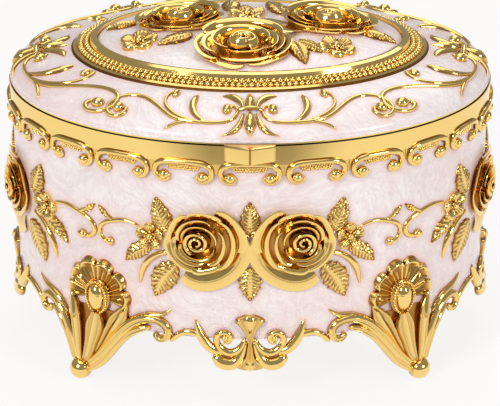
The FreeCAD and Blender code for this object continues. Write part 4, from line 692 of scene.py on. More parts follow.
def gold_finish(looks):
    """Polished gold plate, painted deeper in colour and rougher where the mesh carries painted shade."""
    made, shader, wire, place = finish("polished_gold", Metallic=1.0)
    recess = wire.add("ShaderNodeAttribute", "Fac", {"attribute_name": "recess"})
    cloud = wire.noise(place, 90.0, 3.0)
    # Painted shade mixes the gold towards its dark shade colour.
    feed(shader, Base_Color=recess.mix(looks.gold, looks.gold_painted_shade),
         Roughness=0.06 + 0.07 * cloud + 0.16 * recess)
    return made


def enamel_finish(looks):
    """Pearl enamel with feathery brushed swirls under a clear coat."""
    made, shader, wire, place = finish("pink_enamel", Coat_Weight=0.5, Coat_Roughness=0.14,
                                       Specular_IOR_Level=0.5)
    pooling_and_painted_glow = wire.add("ShaderNodeAttribute", "Fac", {"attribute_name": "pooling_and_painted_glow"})
    drift = wire.add("ShaderNodeTexNoise", "Color", Vector=place, Scale=26.0, Detail=2.0)
    swirl = wire.add("ShaderNodeVectorMath", settings={"operation": "MULTIPLY_ADD"}, s0=drift,
                     s1=(0.05, 0.05, 0.05), s2=place)
    feather = wire.noise(swirl, 75.0, 6.0, 0.62)
    strokes = wire.noise(swirl, 190.0, 4.0, 0.55)
    brush = wire.add("ShaderNodeTexWave", "Fac", {"wave_type": "BANDS", "bands_direction": "DIAGONAL"},
                     Vector=swirl, Scale=95.0, Distortion=16.0, Detail=5.0, Detail_Scale=1.4,
                     Detail_Roughness=0.66)
    patch = wire.noise(place, 30.0, 2.0)
    hair = wire.math("ABSOLUTE", strokes - 0.5, 0.0).ramp((0.0, 1.0), (0.03, 0.0))
    light = (0.78 * feather + 0.22 * brush).ramp((0.28, 0.0), (0.72, 1.0))
    pale = light.mix(looks.enamel, looks.enamel_light)
    # Pink near the gold is partly pooled enamel and partly painted glow bounced from the gold; the patches
    # are the enamel's own tone.
    warm = (patch.ramp((0.45, 0.0), (0.75, 0.45)) + pooling_and_painted_glow * 0.7).mix(pale, looks.enamel_pink)
    veined = (hair * 0.20).mix(warm, (0.62, 0.50, 0.54))
    feed(shader, Base_Color=veined, Roughness=0.22 + 0.2 * feather,
         Normal=bump(wire, 0.5 * brush + 0.5 * feather, 0.4, 0.0005))
    return made


def plain_metal(name, shade, rough):
    """A worked metal with a fine unevenness of gloss."""
    made, shader, wire, place = finish(name, Base_Color=(*shade, 1), Metallic=1.0)
    feed(shader, Roughness=rough + 0.14 * wire.noise(place, 240.0, 3.0))
    return made


def flock_finish(looks):
    """Short dense flock."""
    made, shader, wire, place = finish("flock", Roughness=0.95, Sheen_Weight=0.6, Sheen_Roughness=0.4)
    pile = wire.noise(place, 2600.0, 2.0)
    cloud = wire.noise(place, 45.0, 3.0)
    dark = tuple(0.62 * value for value in looks.flock)
    feed(shader, Base_Color=(0.45 * pile + 0.55 * cloud).mix(dark, looks.flock),
         Normal=bump(wire, pile, 0.5, 0.0003))
    return made


def mirror_finish():
    """Silvered glass with the faintest waviness."""
    made, shader, wire, place = finish("mirror_glass", Base_Color=(0.86, 0.88, 0.90, 1), Metallic=1.0)
    feed(shader, Roughness=0.02 + 0.02 * wire.noise(place, 60.0))
    return made


def plastic_finish(name, shade, rough):
    """Moulded or painted plastic."""
    made, shader, wire, place = finish(name, Coat_Weight=0.25, Coat_Roughness=0.2)
    cloud = wire.noise(place, 300.0, 3.0)
    dark = tuple(0.8 * value for value in shade)
    feed(shader, Base_Color=(cloud * 0.25).mix(shade, dark), Roughness=rough + 0.1 * cloud)
    return made


def net_finish(looks):
    """Stiff net with a fine weave."""
    made, shader, wire, place = finish("tulle", Roughness=0.8, Sheen_Weight=0.5)
    weave = wire.noise(place, 1800.0, 1.0)
    feed(shader, Base_Color=weave.mix(looks.net, (0.98, 0.88, 0.92)), Normal=bump(wire, weave, 0.4, 0.0002))
    return made


# Plain metals and plastics: colour and least roughness.
METALS = {"base_paint": ((0.80, 0.60, 0.28), 0.32), "brass": ((0.83, 0.60, 0.26), 0.2),
          "cast_bed": ((0.42, 0.42, 0.43), 0.4), "shadow_gold": ((0.20, 0.09, 0.02), 0.35),
          "stage_mirror": ((0.85, 0.85, 0.87), 0.03), "steel": ((0.62, 0.62, 0.64), 0.22)}
PLASTICS = {"bodice": ((0.80, 0.36, 0.48), 0.45), "doll_plastic": ((0.86, 0.62, 0.50), 0.35),
            "eyes": ((0.03, 0.02, 0.02), 0.2), "fan_plastic": ((0.80, 0.80, 0.74), 0.35),
            "hair": ((0.10, 0.05, 0.03), 0.4), "lips": ((0.62, 0.12, 0.14), 0.35)}
STORE = {}


def make_finishes(looks):
    """All finishes, by the record's slots and by the scene's own names."""
    STORE.update(polished_gold=gold_finish(looks), pink_enamel=enamel_finish(looks),
                 flock=flock_finish(looks), mirror_glass=mirror_finish(), tulle=net_finish(looks))
    STORE.update({name: plain_metal(name, *values) for name, values in METALS.items()})
    STORE.update({name: plastic_finish(name, *values) for name, values in PLASTICS.items()})


class PieceOperator:
    """What every piece's operator shares."""
    bl_options = {"REGISTER"}

    @staticmethod
    def sizes(context):
        """Sizes of the box and of the ornament, in millimetres."""
        return lengths(context.scene.box_sizes), lengths(context.scene.ornament_sizes)


class BOX_OT_paint(PieceOperator, bpy.types.Operator):
    """Make the finishes and paint the CAD nodes by their slots"""
    bl_idname = "jewel_box.paint"
    bl_label = "Finishes"

    def execute(self, context):
        make_finishes(context.scene.finishes)
        for row in frame["record"]["subparts"]:
            mesh = frame["nodes"][row["node"]].data
            mesh.materials.clear()
            mesh.materials.append(STORE[row["material_slot"]])
        return {"FINISHED"}


# The four sides: name, axis in degrees, how far sprays, pendants and vines are drawn out, roses off the axis.
SIDES = (("front", 0, 1.0, 1.0, 1.0, 12.9), ("right", 90, 1.22, 1.35, 1.3, 15.6),
         ("rear", 180, 1.0, 1.0, 1.0, 12.9), ("left", 270, 1.22, 1.35, 1.3, 15.6))
# Roses of a spray: up, and how far they lean outward and up.
ROSE_LEVEL, ROSE_LEAN = 50.6, (0.12, 0.14)
# Half a spray: stems (along, up, half width), a flower, a ball (with radius and lift) and leaves (base, tip,
# half width, bend, thickness, teeth); then the leaves above and below its middle.
SPRAY_STEMS = (
    ((22.5, 47.2, 0.7), (26.5, 45.4, 0.85), (30.0, 41.5, 0.95), (31.4, 35.9, 0.35)),
    ((31.4, 53.6, 0.5), (35.5, 54.5, 0.62), (39.8, 53.6, 0.7), (43.0, 51.9, 0.72), (43.9, 49.6, 0.72),
     (42.9, 47.5, 0.7), (40.9, 46.7, 0.6)),
    ((39.4, 53.7, 0.6), (41.2, 55.0, 0.55), (43.2, 56.9, 0.3)),
)
SPRAY_FLOWER, SPRAY_BALL = (28.0, 51.2), (40.4, 47.3, 1.25, 0.5)
SPRAY_LEAVES = (
    ((22.4, 53.2), (26.2, 63.2), 3.1, -0.05, 1.25, 5), ((27.6, 48.4), (35.6, 42.4), 2.5, 0.08, 1.25, 4),
    ((20.6, 43.6), (26.8, 32.8), 3.9, 0.06, 1.25, 5), ((41.0, 54.4), (44.2, 57.4), 0.8, 0.0, 0.8, 2),
)
MIDDLE_LEAVES = (((0, 52.6), (0, 63.4), 3.0), ((0, 43.6), (0, 33.2), 3.3))


class BOX_OT_sprays(PieceOperator, bpy.types.Operator):
    """Cast rose sprays on the four sides of the body"""
    bl_idname = "jewel_box.sprays"
    bl_label = "Rose sprays"

    def execute(self, context):
        box, ornament = self.sizes(context)
        for name, axis, stretch, _, _, apart in SIDES:
            plain, wall = Wall(box, axis), Wall(box, axis, stretch)
            casting = Casting()
            for side in (-1, 1):
                rose(casting, plain, apart, ROSE_LEVEL, ornament.rose, ornament.rose_height, ROSE_LEAN, side)
                for rows in SPRAY_STEMS:
                    stem(casting, wall, rows, side=side)
                flower(casting, wall, *SPRAY_FLOWER, ornament, side, 0.3)
                ball(casting, wall, *SPRAY_BALL, side)
                for base, tip, half, *form in SPRAY_LEAVES:
                    leaf(casting, wall, base, tip, half, side, *form)
            for rows in MIDDLE_LEAVES:
                leaf(casting, wall, *rows)
            casting.gild(f"{name}_spray", "box", f"{name}_rose_spray")
        return {"FINISHED"}


# Half an arch of the frieze, from inside its curl to its top: along from its end, up, half width, lift. The
# top has no along; the ball in the curl has a radius instead of a width.
ARCH_ROWS = ((4.75, 70.9, 0.42, 0.5), (4.85, 69.9, 0.55, 0.4), (4.0, 69.15, 0.66, 0.3),
             (2.6, 69.2, 0.74, 0.25), (1.35, 70.2, 0.80, 0.25), (0.9, 71.7, 0.84, 0.3),
             (1.35, 73.2, 0.88, 0.45), (2.9, 74.4, 0.86, 0.7), (5.2, 74.85, 0.80, 0.85))
ARCH_TOP = (74.95, 0.74, 0.9)
ARCH_BALL = (3.45, 70.5, 1.5, 0.45)
# The web's lower edge above an arch's middle.
ARCH_WEB = 73.9
# Rows of beads under an arch: in from its ends, up, lift.
ARCH_BEADS = ((4.4, 73.75, 0.5), (4.6, 73.1, 0.35), (5.0, 72.5, 0.2))


def arch_rows(half):
    """One arch of the frieze, curl to curl, for half its width."""
    rows = [(along - half, up, size, lift) for along, up, size, lift in ARCH_ROWS]
    return rows + [(0, *ARCH_TOP)] + [(-along, *rest) for along, *rest in reversed(rows)]


class BOX_OT_frieze(PieceOperator, bpy.types.Operator):
    """The arches under the band, with beads along their lower edges"""
    bl_idname = "jewel_box.frieze"
    bl_label = "Scroll frieze"

    def execute(self, context):
        box, ornament = self.sizes(context)
        casting, lines = Casting(), []
        for index in range(ornament.arches):
            wall = Wall(box, 360 * index / ornament.arches)
            edge = np.interp(wall.turn(0) + math.pi / ornament.arches, wall.steps, wall.run) - wall.start
            half = edge - 0.3
            stem(casting, wall, arch_rows(half), per=4, groove=0.12)
            for side in (-1, 1):
                ball(casting, wall, side * (half - ARCH_BALL[0]), *ARCH_BALL[1:])
            self.gusset(casting, wall, edge, half, box)
            for reach, up, lift in ARCH_BEADS:
                along = np.linspace(reach - half, half - reach, 24)
                drop = 0.55 * (np.abs(along) / half) ** 3
                lines.append(wall.place(along, up - drop, lift + 0 * along))
        casting.gild("frieze_arches", "box", "scroll_frieze")
        string_beads("frieze_beads", lines, 1.9 * ornament.edge_bead, ornament.edge_bead, "box")
        return {"FINISHED"}

    @staticmethod
    def gusset(casting, wall, edge, half, box):
        """The thin gold web between an arch and the band, painted a little darker as shade."""
        along = np.linspace(-edge, edge, 41)[:, None]
        near = np.clip((np.abs(along) - 0.45 * half) / (0.55 * half), 0, 1.3)
        low = ARCH_WEB - 2.4 * near ** 2.6
        high = box.band_bottom + 0.3 + 0 * low
        up = np.concatenate([low, high, high, low], 1)
        lift = np.array([[0.32, 0.45, -0.4, -0.4]])
        # Painted shade: the web is a little darker all over.
        casting.shell(wall, along + 0 * up, up, lift + 0 * up, 0.25)


def palmette(casting, wall, middle, side):
    """A scalloped shell of six fluted lobes with rolled rims, round the top of a boss, painted in shade but
    on its rims, tips and ribs.
    """
    near, lobes, steps, sunk, dark = 2.6, 6, 24, 0.7, 0.95
    spread = np.radians(np.linspace(-102, 104, lobes * steps + 1))[None, :]
    share = np.linspace(0, 1, 40)[:, None]
    line = 2 * (np.arange(spread.size) % steps / steps)[None, :] - 1
    line[0, -1] = 1.0
    far = (11.4 + 0.9 * np.cos(spread)) * (0.80 + 0.20 * np.sqrt(np.clip(1 - line ** 2, 0, 1)))
    reach = near + (far - near) * share
    edge = np.exp(-((np.abs(line) - 0.66) / 0.16) ** 2)
    tip = np.exp(-((share - 0.86) / 0.09) ** 2) * (np.abs(line) < 0.9)
    rib = 0.75 * np.exp(-(line / 0.17) ** 2) * np.clip(3.6 - 5 * share, 0, 1)
    rim = np.maximum(np.maximum(edge, tip), rib)
    top = (0.35 + 0.5 * share + (0.5 + 0.75 * share) * rim) * np.sqrt(np.clip(1.02 - share ** 14, 0, 1))
    along, up = middle[0] + 0.94 * reach * np.sin(spread), middle[1] + reach * np.cos(spread)
    # Painted shade: dark everywhere but on the rims, tips and ribs, and dark underneath.
    deep = (dark * (1 - rim), dark + 0 * rim)
    sheets = folded((along, along[:, ::-1]), (up, up[:, ::-1]), (top, -sunk + 0 * top), deep)
    casting.shell(wall, *sheets, side=side)


# Leaf strips of a foot from the ball up: along towards the side, up, half width, height, lift.
FOOT_STRIPS = (
    ((4.6, 6.6, 0.8, 1.2, 0.9), (2.6, 10.0, 1.6, 1.7, 1.4), (0.4, 16.2, 2.3, 2.0, 2.0),
     (-0.8, 21.4, 2.7, 2.0, 2.0), (-1.2, 24.4, 1.5, 1.5, 1.8)),
    ((3.4, 6.2, 0.6, 1.0, 0.8), (-1.6, 12.4, 1.4, 1.4, 1.2), (-5.8, 19.8, 2.5, 1.7, 1.1),
     (-8.4, 24.6, 2.3, 1.5, 0.8), (-10.4, 28.0, 0.3, 0.6, 0.4)),
    ((6.2, 6.4, 0.7, 1.0, 0.7), (6.2, 12.0, 1.5, 1.5, 1.2), (6.4, 18.0, 1.9, 1.6, 1.3),
     (7.4, 23.4, 1.7, 1.4, 1.0), (9.0, 28.0, 0.25, 0.6, 0.4)),
)
# Strands of the scroll arms, from the ball to a curl: along, up, half width, lift.
FOOT_ARMS = (
    ((3.6, 5.6, 1.2, 0.6), (-2.6, 12.0, 1.6, 0.9), (-9.4, 20.8, 1.75, 0.7), (-14.0, 24.6, 1.6, 0.4),
     (-18.8, 25.4, 1.4, 0.3), (-22.2, 23.6, 1.25, 0.4), (-22.4, 20.8, 1.2, 0.5), (-20.2, 19.6, 1.1, 0.5),
     (-18.6, 21.2, 0.9, 0.5)),
    ((4.8, 3.2, 1.1, 0.3), (-1.6, 8.2, 1.3, 0.7), (-8.6, 17.4, 1.45, 0.6), (-13.6, 21.4, 1.3, 0.4),
     (-17.4, 22.6, 0.7, 0.3)),
    ((7.2, 6.0, 1.1, 0.6), (9.0, 13.6, 1.4, 0.8), (12.0, 19.6, 1.4, 0.6), (15.8, 22.6, 1.3, 0.4),
     (19.6, 22.8, 1.2, 0.3), (21.8, 21.0, 1.15, 0.4), (21.2, 18.8, 1.1, 0.5), (19.0, 18.4, 1.0, 0.5),
     (18.2, 20.2, 0.8, 0.5)),
    ((8.6, 5.2, 0.9, 0.3), (10.8, 13.2, 1.1, 0.6), (13.8, 18.0, 1.1, 0.5), (17.4, 20.4, 0.6, 0.3)),
    ((-12.6, 24.0, 0.9, 0.3), (-16.8, 26.4, 1.0, 0.3), (-20.4, 27.0, 0.8, 0.2), (-23.6, 29.0, 0.25, 0.1)),
    ((11.0, 20.0, 0.8, 0.3), (15.0, 24.2, 1.0, 0.3), (19.6, 25.6, 0.8, 0.2), (24.0, 27.8, 0.25, 0.1)),
)
# The leaf behind the strips, as they are, painted dark as shade.
FOOT_SHADED_CORE = ((5.0, 5.0, 1.6, 1.0, 0.2), (2.4, 11.0, 4.2, 1.0, 0.2), (-0.4, 18.0, 8.0, 1.0, 0.0),
             (-0.8, 25.0, 9.0, 0.9, -0.3))
# The boss of the palmette: its middle, the egg and its bed (half width, half height, lift, rise, how dark it
# is painted as shade) and the ring of beads round it (half width, half height, lift, spacing, radius).
BOSS_MIDDLE = (-0.8, 28.9)
BOSS_FORMS = ((2.5, 4.3, 1.1, 2.4, 0.0), (4.2, 5.6, 0.7, 1.1, 0.6))
BOSS_BEADS = (3.4, 4.85, 1.75, 0.86, 0.42)
# The ball: along, up, radius, lift.
FOOT_BALL = (6.6, 3.32, 3.3, 0.4)
# Each foot's name, axis in degrees and hand.
FEET = (("front_right", 38.5, 1), ("front_left", -38.5, -1), ("rear_right", 141.5, -1),
        ("rear_left", -141.5, 1))


class BOX_OT_feet(PieceOperator, bpy.types.Operator):
    """Palmette feet with leaf strips, scroll arms and a ball"""
    bl_idname = "jewel_box.feet"
    bl_label = "Feet"

    def execute(self, context):
        box, _ = self.sizes(context)
        wide, tall, lift, spacing, radius = BOSS_BEADS
        angle = np.linspace(0, TURN, 60)
        along, up = BOSS_MIDDLE[0] + wide * np.sin(angle), BOSS_MIDDLE[1] + tall * np.cos(angle)
        for name, axis, side in FEET:
            wall = Wall(box, axis)
            casting = Casting()
            self.foot(casting, wall, side)
            casting.gild(f"{name}_foot", "box", f"foot_{name}")
            ring = wall.place(side * along, up, lift + 0 * angle)
            string_beads(f"{name}_foot_beads", [ring], spacing, radius, "box")
        return {"FINISHED"}

    @staticmethod
    def foot(casting, wall, side):
        """One foot, mirrored by its hand."""
        palmette(casting, wall, BOSS_MIDDLE, side)
        ends = (0.03, math.pi - 0.03)
        for wide, tall, lift, rise, deep in BOSS_FORMS:
            rounded(casting, wall, (*BOSS_MIDDLE, lift), (wide, tall, rise), (14, 28), ends, deep, side)
        for strip in FOOT_STRIPS:
            blade(casting, wall, strip, ridge, side, 1.2, hollows)
        # The leaf behind the strips is painted dark all over as shade.
        blade(casting, wall, FOOT_SHADED_CORE, crown, side, 1.2, lambda line: 0.9 + 0 * line)
        for rows in FOOT_ARMS:
            stem(casting, wall, rows, side=side, groove=0.35)
        ball(casting, wall, *FOOT_BALL, side)


# The pendants of the bottom edge: fans (along, up, half width, height, lift), and for one half the stems
# (along, up, half width, lift), the curl that ends the scroll (see curl) and its ball.
APRON_FANS = (
    ((0, 19.6, 0.55, 1.2, 0.4), (0, 22.6, 1.3, 1.5, 0.5), (0, 25.8, 3.2, 1.8, 0.6), (0, 27.9, 3.6, 1.9, 0.6),
     (0, 28.8, 1.4, 1.3, 0.6)),
    ((0, 20.4, 0.5, 1.2, 0.4), (0, 17.4, 1.0, 1.5, 0.5), (0, 14.2, 2.8, 1.8, 0.6), (0, 12.4, 3.9, 1.9, 0.6),
     (0, 11.7, 1.8, 1.3, 0.6)),
)
APRON_CHEEK = ((1.1, 20.6, 0.5, 0.3), (2.4, 16.6, 1.3, 0.4), (4.8, 13.7, 1.9, 0.5), (8.0, 14.0, 2.0, 0.5),
               (9.9, 16.2, 1.2, 0.3))
APRON_SCROLL = ((1.4, 21.4, 0.5, 0.4), (3.0, 18.3, 1.0, 0.6), (5.6, 17.0, 1.2, 0.7), (8.2, 18.4, 1.1, 0.6))
APRON_CURL = ((7.0, 21.4), -50, 0.95, 2.6, 0.95, 0.62, 0.6)
APRON_BALL = (7.0, 21.6, 1.0, 0.8)
APRON_HORN = ((7.0, 17.2, 0.9, 0.3), (10.0, 17.6, 1.4, 0.4), (12.6, 20.0, 1.5, 0.4), (14.2, 23.0, 1.2, 0.3),
              (15.2, 26.6, 0.3, 0.1))
APRON_WAVE = ((11.6, 19.6, 0.7, 0.2), (14.4, 21.9, 0.95, 0.2), (17.6, 22.6, 0.95, 0.2),
              (20.4, 21.3, 0.9, 0.2), (22.6, 18.9, 0.7, 0.2))


class BOX_OT_aprons(PieceOperator, bpy.types.Operator):
    """Fan and scroll pendants on the bottom edge"""
    bl_idname = "jewel_box.aprons"
    bl_label = "Aprons"

    def execute(self, context):
        box, _ = self.sizes(context)
        scroll = [*APRON_SCROLL, *curl(*APRON_CURL)[1:]]
        for name, axis, _, stretch, _, _ in SIDES:
            wall = Wall(box, axis, stretch)
            casting = Casting()
            for rows in APRON_FANS:
                blade(casting, wall, rows, ridge, 1, 1.4, hollows)
            for side in (-1, 1):
                for rows in (APRON_CHEEK, scroll, APRON_HORN, APRON_WAVE):
                    stem(casting, wall, rows, side=side, rise=1.0)
                ball(casting, wall, *APRON_BALL, side)
            casting.gild(f"{name}_pendant", "box", f"{name}_apron")
        return {"FINISHED"}


# Half a fleur and its vine on the lid slope: along, up, half width.
VINE_STEMS = (
    ((6.7, 12.9, 0.4), (5.9, 14.2, 0.5), (4.4, 13.6, 0.55), (3.9, 11.6, 0.6), (5.4, 9.3, 0.6),
     (9.7, 8.0, 0.62), (15.0, 7.8, 0.66), (21.6, 8.6, 0.62), (27.0, 11.4, 0.56), (33.0, 14.2, 0.54),
     (38.7, 14.9, 0.54), (42.6, 13.4, 0.56), (43.9, 10.2, 0.6), (42.2, 7.0, 0.7), (39.0, 6.2, 0.75),
     (37.2, 8.4, 0.7), (38.4, 10.4, 0.6)),
    ((15.5, 8.0, 0.5), (20.5, 9.4, 0.5), (25.4, 12.0, 0.5), (28.0, 14.8, 0.5), (28.0, 17.2, 0.52),
     (26.4, 18.4, 0.5), (25.0, 17.4, 0.4)),
    ((16.5, 8.0, 0.45), (19.8, 7.3, 0.6), (22.2, 5.8, 0.6), (23.8, 3.8, 0.3)),
)
# Balls in its curls: along, up, radius, lift.
VINE_BALLS = ((7.1, 12.7, 1.5, 0.3), (39.9, 9.4, 1.6, 0.3), (25.9, 17.2, 1.2, 0.3))
# Leaves and buds, the lower ones first, which the hinge side does without: along, up, half width, height.
VINE_BLADES = (
    ((2.0, 11.2, 0.3, 0.7), (3.0, 7.6, 0.9, 1.0), (4.8, 4.4, 0.9, 1.0), (8.0, 2.4, 0.15, 0.4)),
    ((2.0, 13.0, 0.3, 0.7), (3.0, 15.4, 0.9, 1.0), (5.6, 17.2, 1.0, 1.0), (9.4, 17.6, 0.15, 0.4)),
    ((11.6, 7.9, 0.25, 0.5), (14.2, 9.0, 0.55, 0.8), (16.6, 11.0, 0.9, 1.0), (18.1, 13.4, 1.15, 1.15),
     (18.5, 15.6, 1.15, 1.1), (18.2, 17.3, 0.5, 0.6)),
)
FLEUR_BUDS = (((0, 11.6, 0.5, 1.0), (0, 8.6, 1.6, 1.8), (0, 5.6, 1.3, 1.5), (0, 2.6, 0.15, 0.5)),
              ((0, 12.8, 0.5, 1.0), (0, 14.6, 1.5, 1.8), (0, 16.6, 1.5, 1.6), (0, 18.5, 0.15, 0.5)))
FLEUR_TIE = ((-4.2, 12.2, 0.5, 0.6), (0, 12.2, 0.55, 1.5), (4.2, 12.2, 0.5, 0.6))


class BOX_OT_vines(PieceOperator, bpy.types.Operator):
    """Fleurs and vines on the lid slope"""
    bl_idname = "jewel_box.vines"
    bl_label = "Lid vines"

    def execute(self, context):
        box, _ = self.sizes(context)
        casting = Casting()
        for name, axis, _, _, stretch, _ in SIDES:
            slope = Slope(box, axis, stretch)
            skipped = 1 if name == "rear" else 0
            for side in (-1, 1):
                for rows in VINE_STEMS:
                    stem(casting, slope, rows, per=5, side=side)
                for spot in VINE_BALLS:
                    ball(casting, slope, *spot, side)
                for rows in VINE_BLADES[skipped:]:
                    blade(casting, slope, rows, crown, side)
            for rows in FLEUR_BUDS[skipped:]:
                blade(casting, slope, rows, crown)
            stem(casting, slope, FLEUR_TIE)
        casting.gild("lid_vine_scrolls", "lid", "lid_vines")
        return {"FINISHED"}


# Sections in the lid's frame, in from its outer edge and up from the slope: the bed of the beads and a line
# at the frame's foot, both painted dark as shade, and the middles of the two rows of beads.
FRAME_BED = ((1.1, 0.3), (1.1, 0.78), (2.4, 1.26), (3.6, 1.74), (4.3, 2.0), (4.3, 0.3))
FRAME_FOOT_SHADE = ((-1.0, -0.45), (-0.95, 0.0), (-0.3, 0.32), (0.06, 0.32), (0.06, -0.45))
FRAME_ROWS = ((1.85, 1.05), (3.5, 1.65))


class BOX_OT_bead_frame(PieceOperator, bpy.types.Operator):
    """Two rows of beads in the lid's frame, on a bed painted dark as shade"""
    bl_idname = "jewel_box.bead_frame"
    bl_label = "Bead frame"

    def execute(self, context):
        box, ornament = self.sizes(context)
        turn = np.linspace(0, TURN, 361)[None, :]
        casting = Casting()
        for section in (FRAME_BED, FRAME_FOOT_SHADE):
            casting.shell(Flat(), *self.rings(box, section, turn[:, :-1]), loop=True)
        # The bed and the line at the frame's foot are painted dark as shade.
        casting.piece("frame_bed", STORE["shadow_gold"], "lid", "polished_gold")
        lines = np.stack(self.rings(box, FRAME_ROWS, turn), -1)
        string_beads("frame_beads", lines, 2.05 * ornament.bead, ornament.bead, "lid")
        return {"FINISHED"}

    @staticmethod
    def rings(box, section, turn):
        """Rings round the lid, one for each point of a section: across, behind and up."""
        inset, height = np.hsplit(np.array(section), 2)
        wide, deep = (side - box.ring_inset - inset for side in (box.half_width, box.half_depth))
        up = box.slope_bottom + box.slope_rise + height + 0 * turn
        return wide * np.cos(turn), deep * np.sin(turn), up


# The bouquet on the lid: roses (place, share of the front rose, squeeze, hand, first angle, reach of the
# broad petal that leans to the middle), leaves (base, tip, half width) and flowers (place, first angle).
LID_ROSES = ((-2.2, -17.6, 1.0, 0.87, 1, 0.06, 0), (-20.9, 3.6, 0.91, 0.78, 1, -0.35, 1.4),
             (23.6, 2.4, 0.98, 0.78, -1, -0.3, 1.7))
LID_LEAVES = (((-16.6, -8.2), (-26.4, -13.8), 3.0), ((12.6, -14.4), (15.6, -26), 2.8),
              ((14.0, -13.2), (20.4, -19.6), 2.3), ((-33.4, 4.4), (-42.2, 3.2), 2.4),
              ((32.6, -3.6), (42.2, -7.0), 2.5), ((9.6, 9.0), (5.6, 24.6), 3.0),
              ((-6.0, 12.6), (-5.2, 25.8), 2.8))
LID_FLOWERS = ((-32, -10.4, 0.2), (24.7, -16, 0.9), (-0.8, 9, 0.5))
# How much larger these flowers are, how thick the leaves, how the roses lean, and their buds.
LID_GROW, LID_THICK, LID_LEAN, LID_BUD = 1.35, 1.7, (0, -0.04), (0.28, 0.92, 1.0)


class BOX_OT_lid_roses(PieceOperator, bpy.types.Operator):
    """Three roses with leaves and small flowers on the lid panel"""
    bl_idname = "jewel_box.lid_roses"
    bl_label = "Lid roses"

    def execute(self, context):
        box, ornament = self.sizes(context)
        dome = Dome(box)
        casting = Casting()
        radius, height = ornament.lid_rose, ornament.lid_rose_height
        for along, up, share, squeeze, side, first, reach in LID_ROSES:
            broad = ((-12, 0.42, 0.75, -0.1, reach, 0.5, 0.1),) if reach else ()
            rose(casting, dome, side * along, up, share * radius, height, LID_LEAN, side, first,
                 broad + OPEN_PETALS, LID_BUD, squeeze)
        for rows in LID_LEAVES:
            leaf(casting, dome, *rows, thick=LID_THICK)
        for along, up, turn in LID_FLOWERS:
            flower(casting, dome, along, up, ornament, turn=turn, grow=LID_GROW)
        casting.gild("lid_bouquet", "lid", "lid_roses")
        return {"FINISHED"}


# The thumb tab, half of it: across, behind, and how dark its edge line is painted as shade.
TAB_OUTLINE = ((0, -61.0, 0.9), (0.2, -60.93, 0.8), (0.4, -60.86, 0.0), (6.4, -58.75, 0.0),
               (6.95, -58.35, 0.6), (7.0, -57.05, 0.8))
# Its levels: up, how far the outline is drawn in.
TAB_LEVELS = ((76.2, 0.35), (76.35, 0.1), (76.6, 0.0), (80.5, 0.0), (80.85, 0.12), (81.0, 0.45))


class BOX_OT_tab(PieceOperator, bpy.types.Operator):
    """The two-faced thumb tab, with rounded edges"""
    bl_idname = "jewel_box.tab"
    bl_label = "Thumb tab"

    def execute(self, context):
        half = np.array(TAB_OUTLINE)
        outline = np.concatenate([half[::-1] * (-1, 1, 1), half[1:]])
        levels = np.array(TAB_LEVELS)
        share = np.clip(outline[:, 1].max() - outline[:, 1], 0, 1)[None, :]
        along = outline[None, :, 0] * (1 - levels[:, 1:] / 7)
        behind = outline[None, :, 1] + levels[:, 1:] * share
        casting = Casting()
        # The edge line along the ridge and corners is painted shade.
        casting.shell(Flat(), along, behind, levels[:, :1], outline[None, :, 2])
        casting.gild("faceted_tab", "lid", "lid_tab", sharp=12)
        return {"FINISHED"}


def pooling_and_painted_glow_near(points):
    """How near each place is to the cast ornament, 1 at its edge and 0 beyond: where the enamel is tinted
    pink, partly as pooled enamel and partly as painted glow bounced from the gold.
    """
    start, reach, fall = 0.2, 1.9, 1.4
    spots = []
    for thing in bpy.context.scene.objects:
        if thing.get("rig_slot") == "polished_gold":
            places = np.zeros(len(thing.data.vertices) * 3, np.float32)
            thing.data.vertices.foreach_get("co", places)
            spots.append(places.reshape(-1, 3)[::3] / MM)
    spots = np.concatenate(spots)
    tree = KDTree(len(spots))
    for index, spot in enumerate(spots):
        tree.insert(spot, index)
    tree.balance()
    near = np.array([tree.find(point)[2] for point in points])
    return np.clip(1 - (near - start) / reach, 0, 1) ** fall


def enamel_skin(name, body, surface, along, up, lift, loop):
    """A thin skin of enamel, marked where it is tinted pink by the gold, partly pooled enamel and partly
    painted glow.
    """
    casting = Casting()
    casting.shell(surface, along, up, lift, 0.0, loop=loop)
    pooling_and_painted_glow = pooling_and_painted_glow_near(casting.points[0])
    thing = casting.piece(name, STORE["pink_enamel"], body, "pink_enamel", sharp=40)
    mark = thing.data.attributes.new("pooling_and_painted_glow", "FLOAT", "POINT")
    mark.data.foreach_set("value", pooling_and_painted_glow.astype(np.float32))


# The rounded rim of enamel on the lid's lip: up, lift.
LIP_RIM = ((0.42, -0.3), (0.42, 0.34), (0.55, 0.37), (0.8, 0.36), (1.05, 0.26), (1.2, 0.0), (1.2, -0.3))


